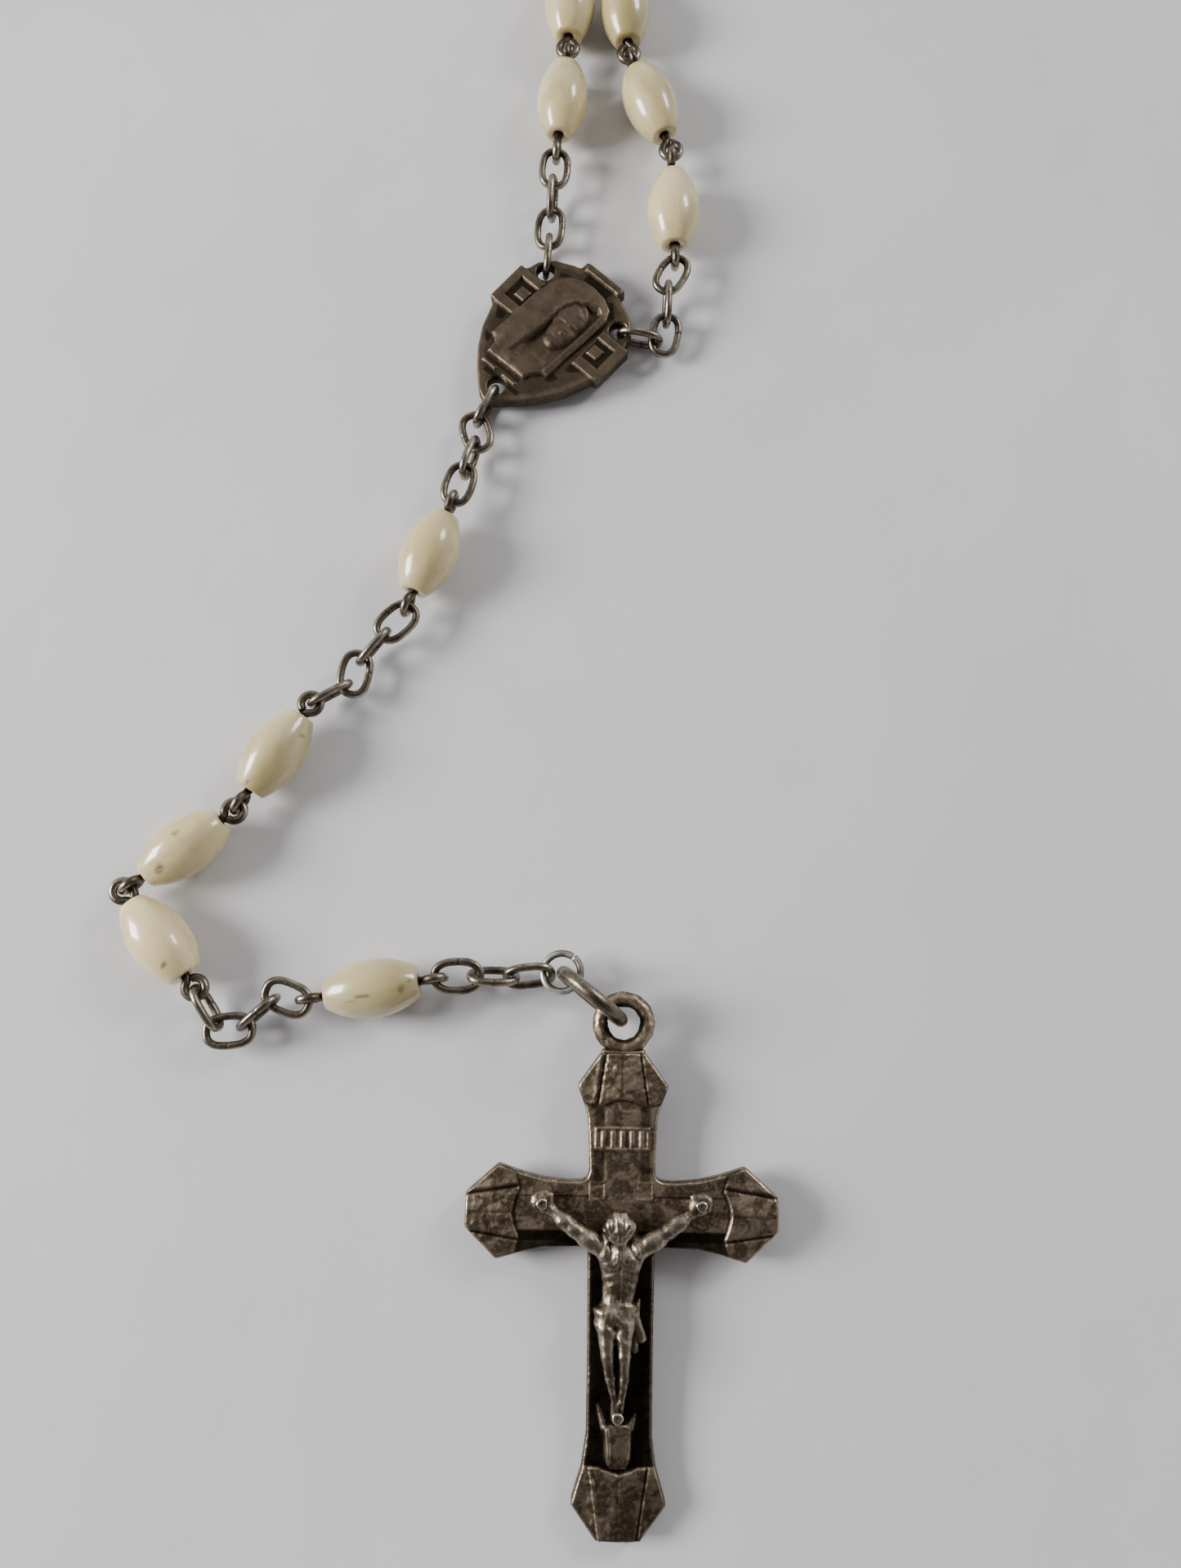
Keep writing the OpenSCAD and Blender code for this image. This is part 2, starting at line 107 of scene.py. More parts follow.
class Shape:
    """Gathers the parts of one mesh. Lengths are in millimetres. `local` is the place in the piece's own frame.
    `mark` is (hollow, rubbing, stain) on metal, and (inside of the bore, paleness, fleck) on a bead. On metal these
    marks also carry painted shade on the inner sides of the rings and the crucifix's eye and on the crucifix's lower
    cap, and a painted highlight on the small ring and the crucifix's eye."""

    def __init__(self):
        self.v, self.f, self.local, self.mark, self.n = [], [], [], [], 0

    def add(self, verts, faces, place=None, local=None, mark=None, shift=0.0):
        verts = np.asarray(verts, float)
        local = verts if local is None else local
        self.local.append(local + shift)
        self.mark.append(np.zeros((len(verts), 3)) if mark is None else mark)
        if place is not None:
            axes, origin = place
            verts = verts @ axes + origin
        self.v.append(verts)
        self.f += [tuple(i + self.n for i in face) for face in faces]
        self.n += len(verts)

    def object(self, name, material):
        mesh = bpy.data.meshes.new(name)
        mesh.from_pydata((np.concatenate(self.v) * MM).tolist(), [], self.f)
        for key, values in (("local", self.local), ("mark", self.mark)):
            layer = mesh.attributes.new(key, "FLOAT_VECTOR", "POINT")
            layer.data.foreach_set("vector", np.concatenate(values).astype(np.float32).ravel())
        mesh.polygons.foreach_set("use_smooth", [True] * len(mesh.polygons))
        mesh.materials.append(material)
        mesh.update()
        ob = bpy.data.objects.new(name, mesh)
        bpy.context.scene.collection.objects.link(ob)
        return ob


def unstained(hollow, rubbing_and_highlight):
    """The mark of a metal surface without stain."""
    return np.column_stack([hollow, rubbing_and_highlight, np.zeros(len(hollow))])


def stand_in(shape, node, material):
    ob = shape.object(node + "_detail", material)
    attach(ob, BODY_OF[node])
    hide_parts(node)
    return ob


def tube(path, radius, sides, closed=False, first_normal=None):
    """Round wire along a path, its frame carried along without twist. Open ends get a bevelled cap.
    Returns the vertices, the faces and each vertex's outward direction."""
    path = np.asarray(path, float)
    n = len(path)
    radius = np.broadcast_to(np.asarray(radius, float), (n,))
    if closed:
        tangent = np.roll(path, -1, 0) - np.roll(path, 1, 0)
    else:
        tangent = np.gradient(path, axis=0)
    tangent /= np.linalg.norm(tangent, axis=1)[:, None]
    normal = np.cross(tangent[0], [0.3, 0.5, 0.8]) if first_normal is None else np.asarray(first_normal, float)
    rows, outs = [], []
    angle = np.arange(sides) * 2 * math.pi / sides
    for i in range(n):
        normal = unit(normal - tangent[i] * (normal @ tangent[i]))
        side = np.cross(tangent[i], normal)
        out = np.cos(angle)[:, None] * normal + np.sin(angle)[:, None] * side
        rows.append(path[i] + out * radius[i])
        outs.append(out)
    if not closed:
        caps = [[path[end] + outs[end] * radius[end] * share + sign * tangent[end] * ahead * radius[end]
                 for share, ahead in ((0.72, 0.12), (0.0, 0.16))] for end, sign in ((0, -1), (n - 1, 1))]
        rows = caps[0][::-1] + rows + caps[1]
        outs = [outs[0]] * 2 + outs + [outs[-1]] * 2
    return np.concatenate(rows), rings_to_faces(len(rows), sides, closed), np.concatenate(outs)


def rings_to_faces(count, sides, closed):
    faces = []
    for i in range(count if closed else count - 1):
        a, b = i * sides, ((i + 1) % count) * sides
        for k in range(sides):
            m = (k + 1) % sides
            faces.append((a + k, a + m, b + m, b + k))
    return faces


# ---- reading the frame's solids ------------------------------------------------------------
def solids(node):
    """The separate solids of a CAD node, each as its points in millimetres."""
    mesh = frame["nodes"][node].data
    co = np.empty(len(mesh.vertices) * 3)
    mesh.vertices.foreach_get("co", co)
    co = co.reshape(-1, 3) / MM
    edges = np.empty(len(mesh.edges) * 2, int)
    mesh.edges.foreach_get("vertices", edges)
    points, same = np.unique(np.round(co, 4), axis=0, return_inverse=True)
    a, b = same.ravel()[edges].reshape(-1, 2).T
    label = np.arange(len(points))
    while True:
        low = np.minimum(label[a], label[b])
        new = label.copy()
        np.minimum.at(new, a, low)
        np.minimum.at(new, b, low)
        new = new[new]
        if (new == label).all():
            break
        label = new
    return [points[label == k] for k in np.unique(label)]


def principal(points):
    """Axes (rows, longest first) and middle of a solid that is even about its three planes."""
    centred = points - points.mean(0)
    axes = np.linalg.eigh(centred.T @ centred)[1].T[::-1]
    axes = np.array([a if a[np.argmax(abs(a))] > 0 else -a for a in axes])
    axes[2] = np.cross(axes[0], axes[1])
    span = centred @ axes.T
    middle = points.mean(0) + ((span.max(0) + span.min(0)) / 2) @ axes
    return axes, middle


def upright_axes(along):
    side = unit(np.cross([0, 0, 1], along))
    return np.array([along, side, np.cross(along, side)])


# ---- materials ----------------------------------------------------------------------------
def material(name, **sockets):
    mat = bpy.data.materials.new(name)
    mat.use_nodes = True
    shader = mat.node_tree.nodes["Principled BSDF"]
    for key, value in sockets.items():
        shader.inputs[key.replace("_", " ")].default_value = value
    return mat, mat.node_tree, shader


class Graph:
    """Short names for the few nodes that the materials use."""

    def __init__(self, tree):
        self.tree = tree

    def node(self, kind, **settings):
        node = self.tree.nodes.new(kind)
        for key, value in settings.items():
            setattr(node, key, value)
        return node

    def link(self, source, target):
        self.tree.links.new(source, target)

    def attribute(self, name):
        return self.node("ShaderNodeAttribute", attribute_name=name).outputs["Vector"]

    def parts(self, vector):
        node = self.node("ShaderNodeSeparateXYZ")
        self.link(vector, node.inputs[0])
        return node.outputs

    def noise(self, vector, scale, stretch=(1, 1, 1), detail=3.0, rough=0.55, twist=0.0):
        place = self.node("ShaderNodeMapping")
        place.inputs["Scale"].default_value = stretch
        self.link(vector, place.inputs["Vector"])
        node = self.node("ShaderNodeTexNoise")
        self.link(place.outputs[0], node.inputs["Vector"])
        node.inputs["Scale"].default_value = scale
        node.inputs["Detail"].default_value = detail
        node.inputs["Roughness"].default_value = rough
        node.inputs["Distortion"].default_value = twist
        return node.outputs["Fac"]

    def math(self, how, a, b=None, clamp=False):
        node = self.node("ShaderNodeMath", operation=how, use_clamp=clamp)
        for socket, value in zip(node.inputs, (a, b)):
            if value is None:
                continue
            if isinstance(value, (int, float)):
                socket.default_value = value
            else:
                self.link(value, socket)
        return node.outputs[0]

    def ramp(self, value, lo, hi, out_lo=0.0, out_hi=1.0):
        node = self.node("ShaderNodeMapRange", interpolation_type="SMOOTHSTEP")
        self.link(value, node.inputs["Value"])
        for key, number in (("From Min", lo), ("From Max", hi), ("To Min", out_lo), ("To Max", out_hi)):
            node.inputs[key].default_value = number
        return node.outputs[0]

    def mix(self, share, a, b):
        node = self.node("ShaderNodeMix", data_type="RGBA")
        for socket, value in zip((node.inputs[0], node.inputs[6], node.inputs[7]), (share, a, b)):
            if isinstance(value, (int, float)):
                socket.default_value = value
            elif isinstance(value, tuple):
                socket.default_value = (*value, 1)
            else:
                self.link(value, socket)
        return node.outputs[2]

    def bump(self, height, strength, distance, shader):
        node = self.node("ShaderNodeBump")
        node.inputs["Strength"].default_value = strength
        node.inputs["Distance"].default_value = distance
        self.link(height, node.inputs["Height"])
        self.link(node.outputs[0], shader.inputs["Normal"])


def shell_material():
    """Mother-of-pearl: pale and yellow-green growth layers cut through at a slant, glassy on top."""
    mat, tree, shader = material(
        "shell", Coat_Weight=0.8, Coat_Roughness=0.06, Coat_IOR=1.5, IOR=1.53,
        Subsurface_Weight=0.5, Subsurface_Scale=MM, Subsurface_Radius=(1.7, 1.35, 0.7))
    g = Graph(tree)
    local = g.attribute("local")
    mark = g.parts(g.attribute("mark"))
    layers = g.noise(local, 1.0, (0.10, 0.20, 0.36), 2.0, 0.45, 0.4)
    fine = g.noise(local, 1.0, (0.25, 0.5, 1.3), 4.0, 0.55, 0.9)
    cloud = g.noise(local, 0.42, (0.6, 1, 1), 2.0)
    colour = g.mix(g.ramp(layers, 0.28, 0.70), (0.375, 0.297, 0.116), (0.535, 0.455, 0.246))
    colour = g.mix(g.math("MULTIPLY", mark[1], 0.6), colour, (0.93, 0.76, 0.44))
    colour = g.mix(g.ramp(fine, 0.45, 0.75, 0, 0.22), colour, (0.64, 0.585, 0.40))
    colour = g.mix(g.ramp(cloud, 0.48, 0.72, 0, 0.55), colour, (0.36, 0.30, 0.12))
    flecks = g.noise(local, 2.2, (0.45, 1, 1), 4.0, 0.7, 0.4)
    colour = g.mix(g.ramp(flecks, 0.70, 0.84, 0, 0.30), colour, (0.36, 0.29, 0.13))
    grit = g.noise(local, 5.0, (0.7, 1, 1), 3.0, 0.7)
    stain = g.math("MULTIPLY", mark[2], g.ramp(grit, 0.30, 0.55, 0.55, 1.0))
    colour = g.mix(g.ramp(stain, 0.12, 0.95, 0, 0.85), colour, (0.18, 0.14, 0.06))
    colour = g.mix(g.math("MULTIPLY", mark[0], 0.6), colour, (0.33, 0.25, 0.13))
    g.link(colour, shader.inputs["Base Color"])
    g.link(g.ramp(fine, 0.3, 0.8, 0.24, 0.40), shader.inputs["Roughness"])
    g.bump(g.noise(local, 1.6, (0.5, 1, 1.6), 3.0, 0.6), 0.10, 0.0002, shader)
    return mat


def metal_material(name, dark, body, bright, rough, speck, rubbing_and_highlight=0.6, bump=0.25, grain=1.0):
    """Tarnished metal: `dark` oxide in the hollows, and painted shade on the inner sides of the rings and the
    crucifix's eye; `body` over most of it; `bright` where it is rubbed, and as a painted highlight on the small ring
    and the crucifix's eye.
    """
    mat, tree, shader = material(name, Metallic=1.0)
    g = Graph(tree)
    local = g.attribute("local")
    mark = g.parts(g.attribute("mark"))
    patch = g.noise(local, 0.55 * grain, detail=4.0, rough=0.6, twist=0.3)
    spots = g.noise(local, 2.6 * grain, detail=5.0, rough=0.68)
    pits = g.noise(local, 8.0 * grain, detail=3.0, rough=0.6)
    blotch = g.noise(local, 0.75 * grain, detail=5.0, rough=0.6, twist=0.5)
    colour = g.mix(g.ramp(patch, 0.34, 0.66), tuple(c * 0.72 for c in body), body)
    pale = tuple(0.55 * a + 0.45 * b for a, b in zip(body, bright))
    colour = g.mix(g.ramp(blotch, 0.45, 0.55, 0, speck), colour, pale)
    colour = g.mix(g.ramp(spots, 0.50, 0.72, 0, speck), colour, bright)
    colour = g.mix(g.ramp(pits, 0.30, 0.46, 0.55 * speck, 0), colour, dark)
    # `worn` is rubbing wear, and on the small ring and the crucifix's eye also a painted highlight
    worn = g.math("MULTIPLY", mark[1], g.ramp(spots, 0.30, 0.60, 0.45, 1.0))
    colour = g.mix(g.math("MULTIPLY", worn, rubbing_and_highlight, clamp=True), colour, bright)
    # the hollow mark: dark oxide, and painted shade on the inner sides of the rings and the crucifix's eye
    colour = g.mix(g.math("MINIMUM", mark[0], 0.97), colour, dark)
    # the stain mark: stains, and a painted shade on the crucifix's lower cap
    colour = g.mix(g.math("MINIMUM", mark[2], 0.98), colour, tuple(c * 0.3 for c in dark))
    g.link(colour, shader.inputs["Base Color"])
    level = g.ramp(spots, 0.35, 0.75, rough + 0.10, rough - 0.06)
    level = g.math("SUBTRACT", level, g.math("MULTIPLY", worn, 0.14))
    level = g.math("ADD", level, g.math("MULTIPLY", mark[0], 0.25), clamp=True)
    g.link(level, shader.inputs["Roughness"])
    g.bump(g.math("ADD", spots, g.math("MULTIPLY", pits, 0.4)), bump, 0.0001, shader)
    return mat


SHELL = shell_material()
WIRE = metal_material(
    "oxidised_wire", (0.022, 0.017, 0.012), (0.118, 0.094, 0.068), (0.60, 0.53, 0.43), rough=0.27, speck=0.25)
CAST = metal_material(
    "cast_metal", (0.018, 0.013, 0.008), (0.127, 0.0935, 0.0615), (0.565, 0.455, 0.33),
    rough=0.39, speck=0.80, rubbing_and_highlight=0.36, bump=0.2)
MEDAL = metal_material(
    "medal_metal", (0.026, 0.019, 0.012), (0.108, 0.079, 0.053), (0.32, 0.26, 0.20),
    rough=0.50, speck=0.14, rubbing_and_highlight=0.22, bump=0.1)
FIGURE = metal_material(
    "rubbed_metal", (0.022, 0.016, 0.009), (0.125, 0.096, 0.065), (0.74, 0.64, 0.50),
    rough=0.27, speck=0.45, rubbing_and_highlight=0.95, bump=0.35)
# the small ring's near-white `bright` colour, at full strength, is a painted highlight on its side that faces the left
# window
BRIGHT = metal_material(
    "bright_ring", (0.05, 0.042, 0.033), (0.21, 0.195, 0.155), (0.97, 0.95, 0.90),
    rough=0.42, speck=0.0, rubbing_and_highlight=1.0, bump=0.02)


# ---- beads ----------------------------------------------------------------------------------
def bead_marks(points, marks):
    """How deep each point lies in the bead's own flecks: (dx, dy, length, width, heading) seen from above."""
    depth = np.zeros(len(points))
    for dx, dy, length, width, heading in marks:
        c, s = math.cos(math.radians(heading)), math.sin(math.radians(heading))
        x, y = points[:, 0] - dx, points[:, 1] - dy
        near = np.hypot((x * c + y * s) / (length / 2), (y * c - x * s) / (width / 2))
        depth = np.maximum(depth, np.clip(1.6 - near, 0, 1) * (points[:, 2] > 0))
    return depth


def bead(shape, points, number, marks, pale, sides=44, rows=30):
    axes, middle = principal(points)
    axes = upright_axes(axes[0])
    half = np.ptp((points - middle) @ axes[0]) / 2
    fat = np.ptp((points - middle) @ axes[2]) / 2
    rng = np.random.default_rng(1000 + number)
    mouth = rng.uniform(1.12, 1.42, 2)
    power = rng.uniform(1.75, 2.25)
    lean = rng.uniform(-0.35, 0.35)
    size = rng.uniform(0.965, 1.0)
    # half outline: out of the bore, over the flat end and along the belly
    u = np.sin(np.linspace(-1, 1, rows) * math.pi / 2 * 0.985)
    t = u + lean / half * (1 - u * u)
    end_r = np.where(u < 0, mouth[0], mouth[1])
    belly = end_r + (fat * size - end_r) * (1 - np.abs(u) ** power)
    x = t * (half - 0.03)
    corner = 0.16
    slim = np.clip((np.abs(x) - (half - corner)) / corner, 0, 1)
    belly = belly - corner * (1 - np.sqrt(np.clip(1 - slim ** 2, 0, 1)))
    lip = [(0.80, half - 0.02), (0.56, half - 0.07), (0.47, half - 0.25), (0.43, half - 1.2)]
    xs = np.concatenate([[-p[1] for p in lip[::-1]], x, [p[1] for p in lip]])
    rs = np.concatenate([[p[0] for p in lip[::-1]], belly, [p[0] for p in lip]])
    angle = np.arange(sides) * 2 * math.pi / sides
    turn = rng.uniform(0, 2 * math.pi)
    out_of_round = 1 - 0.018 * (1 + np.cos(2 * (angle + turn))) * 0.5
    flat = 1 - 0.010 * (1 + np.cos(6 * angle + turn)) * 0.5
    ring = np.stack([np.cos(angle) * out_of_round * flat, np.sin(angle) * out_of_round * flat], 1)
    verts = np.concatenate([np.column_stack([np.full(sides, a), ring * r]) for a, r in zip(xs, rs)])
    c, s = math.cos(turn), math.sin(turn)
    local = verts @ np.array([[1, 0, 0], [0, c, s], [0, -s, c]])
    world = verts @ axes
    inner = np.repeat(np.where(rs < 0.6, 1.0, np.where(rs < 0.85, 0.45, 0.0)), sides)
    mark = np.column_stack([inner, np.full(len(verts), pale), bead_marks(world, marks)])
    shape.add(verts, rings_to_faces(len(xs), sides, False), (axes, middle), local, mark, rng.uniform(-60, 60, 3))
    return middle, axes


# ---- wires ----------------------------------------------------------------------------------
def streaked_flank(flank, seed, points):
    """Wear on the flanks of a wire, broken up along it; on the small ring the flank is a painted highlight instead of
    wear.
    """
    return np.clip(flank * (0.75 + 0.35 * waves(points, 1.6, seed)), 0, 1)


LINK_SLIM = 0.948    # links are this much thinner than their solids, so that hooks stay clear at their limits
LINK_SIDES = 14


def oval_wire(shape, points, number):
    axes, middle = principal(points)
    long, wide, thick = (np.ptp((points - middle) @ a) for a in axes)
    r = thick / 2
    rng = np.random.default_rng(3000 + number)
    count, power = 72, 2 / rng.uniform(2.5, 2.7)
    angle = np.arange(count) * 2 * math.pi / count + 0.004
    c, s = np.cos(angle), np.sin(angle)
    path = np.column_stack([
        np.sign(c) * np.abs(c) ** power * (long / 2 - r),
        np.sign(s) * np.abs(s) ** power * (wide / 2 - r),
        0.01 * np.sin(2 * angle + rng.uniform(0, 6))])
    # even spacing, so that the rings don't bunch at the ends
    loop = np.vstack([path, path[:1]])
    run = np.concatenate([[0], np.cumsum(np.linalg.norm(np.diff(loop, axis=0), axis=1))])
    at = np.linspace(0, run[-1], count, endpoint=False)
    path = np.column_stack([np.interp(at, run, loop[:, k]) for k in range(3)])
    # the closing seam is a slight nick in one long side
    seam_side = rng.choice([-1, 1])
    from_seam = np.hypot(path[:, 0] - rng.uniform(-0.4, 0.4), path[:, 1] - seam_side * (wide / 2 - r))
    thickness = LINK_SLIM * r * (1 - 0.10 * hill(from_seam, 0.08)) * (1 - 0.015 * np.sin(3 * angle + number))
    verts, faces, outs = tube(path, thickness, LINK_SIDES, True, (0, 0, 1))
    outward = outs[:, :2] * unit_rows(np.repeat(path[:, :2], LINK_SIDES, 0))
    flank = np.clip(outward.sum(1), 0, 1) ** 2
    hollow = np.repeat(hill(from_seam, 0.06), LINK_SIDES)
    inner_end = np.clip(-outward.sum(1), 0, 1) * step_up(long / 2 - 1.3, long / 2 - 0.5, np.abs(verts[:, 0]))
    hollow = np.maximum(hollow, 0.55 * inner_end)
    mark = unstained(hollow, streaked_flank(flank, number, verts))
    shape.add(verts, faces, (axes, middle), None, mark, rng.uniform(-60, 60, 3))


EYE_R = 0.86        # middle line of an eye
EYE_OUT = 1.25      # from an eye's centre to the outside of its wire
EYE_TURN = 311      # degrees that the wire goes round an eye
PIN_WIRE = 0.37     # radius of a pin's wire


def eye_path(reach, plane, flare):
    """From the pin's straight part round one eye, in the pin's frame: reach is the eye's centre along +X."""
    join = np.array([reach - 1.45, 0])
    enter = math.radians(213)
    first = np.array([reach + EYE_R * math.cos(enter), EYE_R * math.sin(enter)])
    lead = first - 0.30 * np.array([-math.sin(enter), math.cos(enter)])
    t = np.linspace(0, 1, 7)[:-1, None]
    bend = (
        (1 - t) ** 3 * join + 3 * (1 - t) ** 2 * t * (join + [0.38, 0])
        + 3 * (1 - t) * t ** 2 * lead + t ** 3 * first)
    turn = np.linspace(enter, enter + math.radians(EYE_TURN), 34)
    radius = EYE_R + flare * step_up(0.80, 1.0, np.linspace(0, 1, len(turn))) ** 1.5
    loop = np.column_stack([reach + radius * np.cos(turn), radius * np.sin(turn)])
    flat = np.vstack([bend, loop])
    return np.column_stack([flat[:, 0], flat[:, 1] * plane[0], flat[:, 1] * plane[1]])


def pin(shape, points, bead_place, number, flare=(0, 0)):
    middle, axes = bead_place
    span = (points - middle) @ axes.T
    rng = np.random.default_rng(5000 + number)
    halves = []
    for side, sign in enumerate((1, -1)):
        reach = np.max(sign * span[:, 0]) - EYE_OUT
        eye = span[sign * span[:, 0] > reach - 0.3][:, 1:]
        plane = np.linalg.eigh(eye.T @ eye)[1][:, 1] * rng.choice([-1, 1])
        path = eye_path(reach, plane, flare[side])
        if sign < 0:
            path = path * [-1, 1, 1]
        halves.append(path)
    straight = np.linspace(halves[1][0], halves[0][0], 8)[1:-1]
    path = np.vstack([halves[1][::-1], straight, halves[0]])
    verts, faces, outs = tube(path, PIN_WIRE, 12)
    beyond = np.abs(verts[:, 0]) - np.max(np.abs(span[:, 0])) + 1.7
    flank = np.clip(0.2 + outs[:, 0] * np.sign(verts[:, 0]), 0, 1) * step_up(0, 1, beyond)
    inside = 0.5 * step_up(0.6, 0, np.abs(beyond)) + 0.9 * (beyond < -0.6)
    mark = unstained(inside, streaked_flank(flank, number, verts))
    shape.add(verts, faces, (axes, middle), None, mark, rng.uniform(-60, 60, 3))


def jump_ring(node, material_, cut, sides, rows, waver, wear_and_highlight, highlight_side=None):
    """A bent ring whose ends stand a little apart on the side `cut`. It is worn on its two flat sides; when a side is
    given last, it carries instead a painted highlight on that side, which faces the left window. Its inner side carries
    painted shade."""
    points = solids(node)[0]
    centred = points - points.mean(0)
    axes = np.linalg.eigh(centred.T @ centred)[1].T[::-1]
    axes[2] = axes[2] if axes[2][np.argmax(abs(axes[2]))] > 0 else -axes[2]
    axes[1] = np.cross(axes[2], axes[0])
    span = centred @ axes.T
    # circle through the ring's own points
    across = np.column_stack([2 * span[:, :2], np.ones(len(span))])
    fit = np.linalg.lstsq(across, (span[:, :2] ** 2).sum(1), rcond=None)[0]
    far = np.hypot(span[:, 0] - fit[0], span[:, 1] - fit[1])
    wire = (far.max() - far.min()) / 2
    mid = (far.max() + far.min()) / 2
    height = (span[:, 2].max() + span[:, 2].min()) / 2
    middle = points.mean(0) + fit[0] * axes[0] + fit[1] * axes[1] + height * axes[2]
    ahead = np.array(cut) @ axes.T
    start = math.atan2(ahead[1], ahead[0])
    gap = 0.10 / mid
    turn = np.linspace(start + gap, start + 2 * math.pi - gap, rows)
    ends = np.linspace(-1, 1, rows)
    path = np.column_stack([
        mid * np.cos(turn) * (1 + 0.004 * np.sin(2 * turn)), mid * np.sin(turn), waver * ends ** 5])
    verts, faces, outs = tube(path, wire * (1 - 0.012 * np.cos(5 * turn)), sides, False, (0, 0, 1))
    outward = (outs[:, :2] * unit_rows(verts[:, :2])).sum(1)
    flank = wear_and_highlight * np.clip(np.abs(outs[:, 2]) + 0.4 * outward, 0, 1) ** 2
    if highlight_side is not None:
        # painted highlight: the side facing the left window is made bright
        flank = wear_and_highlight * step_up(0.55, 0.90, outs @ axes @ unit(highlight_side))
    # painted shade: the ring's inner side is darkened
    mark = unstained(0.8 * step_up(0.2, 0.9, -outward), streaked_flank(flank, 77, verts))
    shape = Shape()
    shape.add(verts, faces, (axes, middle), None, mark)
    return stand_in(shape, node, material_)


# ---- chains, pins and beads in their places ------------------------------------------------
# the flecks that single beads show
MARKS = {
    "pendant_bead_1": [(-0.6, -0.86, 2.0, 0.34, 19), (3.3, 0.6, 0.5, 0.35, 60), (2.7, -0.1, 0.9, 0.5, 80)],
    "pendant_bead_3": [(0.05, 0.85, 0.62, 0.55, 40), (-1.3, -2.1, 1.0, 0.6, 50)],
    "pendant_bead_4": [(2.5, 1.2, 0.5, 0.35, 30), (-1.9, -3.0, 0.6, 0.3, 30)],
    "pendant_bead_2": [(1.3, -2.3, 0.8, 0.4, 60)],
}
# how much paler than the darkest bead each single bead is, from 0 to 1
PALE = {
    "pendant_bead_1": 0.0, "pendant_bead_2": 1.0, "pendant_bead_3": 0.45, "pendant_bead_4": 0.12,
    "pendant_bead_5": 0.45, "left_bead_1": 0.5, "left_bead_2": 0.5, "right_bead_1": 0.65, "right_bead_2": 0.4}
# how far the ends of an eye's wire stand out of round, at the pin's front and back
FLARES = {"pendant_pin_2": (0.30, 0)}
LONGEST_LINK = 6.5    # a wire longer than this is a pin
count = 0
nodes = sorted(frame["nodes"])
for node in nodes:
    if not (node.endswith("_beads") or "_bead_" in node):
        continue
    wires = node.replace("_beads", "_wires").replace("_bead_", "_pin_")
    shape, places = Shape(), []
    for points in solids(node):
        count += 1
        pale = PALE.get(node, 0.35 + 0.25 * math.sin(2.4 * count))
        places.append(bead(shape, points, count, MARKS.get(node, ()), pale))
    stand_in(shape, node, SHELL)
    shape = Shape()
    for points in solids(wires):
        count += 1
        if np.ptp(points, 0).max() > LONGEST_LINK or len(places) == 1:
            near = min(places, key=lambda p: np.linalg.norm(p[0] - points.mean(0)))
            pin(shape, points, near, count, FLARES.get(wires, (0, 0)))
        else:
            oval_wire(shape, points, count)
    stand_in(shape, wires, WIRE)
for node in nodes:
    if "_chain_link_" in node:
        count += 1
        shape = Shape()
        oval_wire(shape, solids(node)[0], count)
        stand_in(shape, node, WIRE)
jump_ring("crucifix_ring", WIRE, (-0.5, 0.4, -0.8), 20, 110, 0.05, 0.3)
# the small ring: a painted highlight on the side facing the left window, and painted shade on its inner side
jump_ring("small_ring", BRIGHT, (0.6, 0.8, 0), 16, 84, 0.10, 1.0, (-0.50, -0.22, 0.84))


# ---- low relief: a plate with a shaped front -------------------------------------------------
def inside_of(outline, x, y):
    """Distance to a closed outline, positive inside."""
    outline = np.asarray(outline, float)
    best = np.full(x.shape, 1e9)
    odd = np.zeros(x.shape, bool)
    for (ax, ay), (bx, by) in zip(outline, np.roll(outline, -1, 0)):
        ex, ey = bx - ax, by - ay
        t = np.clip(((x - ax) * ex + (y - ay) * ey) / (ex * ex + ey * ey), 0, 1)
        best = np.minimum(best, np.hypot(x - ax - t * ex, y - ay - t * ey))
        if ay != by:
            odd ^= ((ay > y) != (by > y)) & (x < ex * (y - ay) / ey + ax)
    return np.where(odd, best, -best)


def box_of(x0, x1, y0, y1, x, y):
    dx = np.minimum(x - min(x0, x1), max(x0, x1) - x)
    dy = np.minimum(y - min(y0, y1), max(y0, y1) - y)
    return np.minimum(dx, dy)


def both(half):
    return list(half) + [(-a, b) for a, b in reversed(half) if a > 0]


def level(z, target, where, wall=0.07):
    """Brings the surface to a level inside a shape, with a steep soft wall."""
    share = step_up(-wall, wall, where)
    return z + (target - z) * share


def cleared(stain, where, share=1.0, lo=-0.02, hi=0.10):
    """Takes the stain off a raised form."""
    return stain * (1 - share * step_up(lo, hi, where))


def sunk(z, stain, target, where, wall, share, lo, hi):
    """Brings the surface to a low level inside a shape and darkens the bottom."""
    return level(z, target, where, wall), np.maximum(stain, share * step_up(lo, hi, where))


BACK_RIM = 0.12    # radius of a casting's back edge


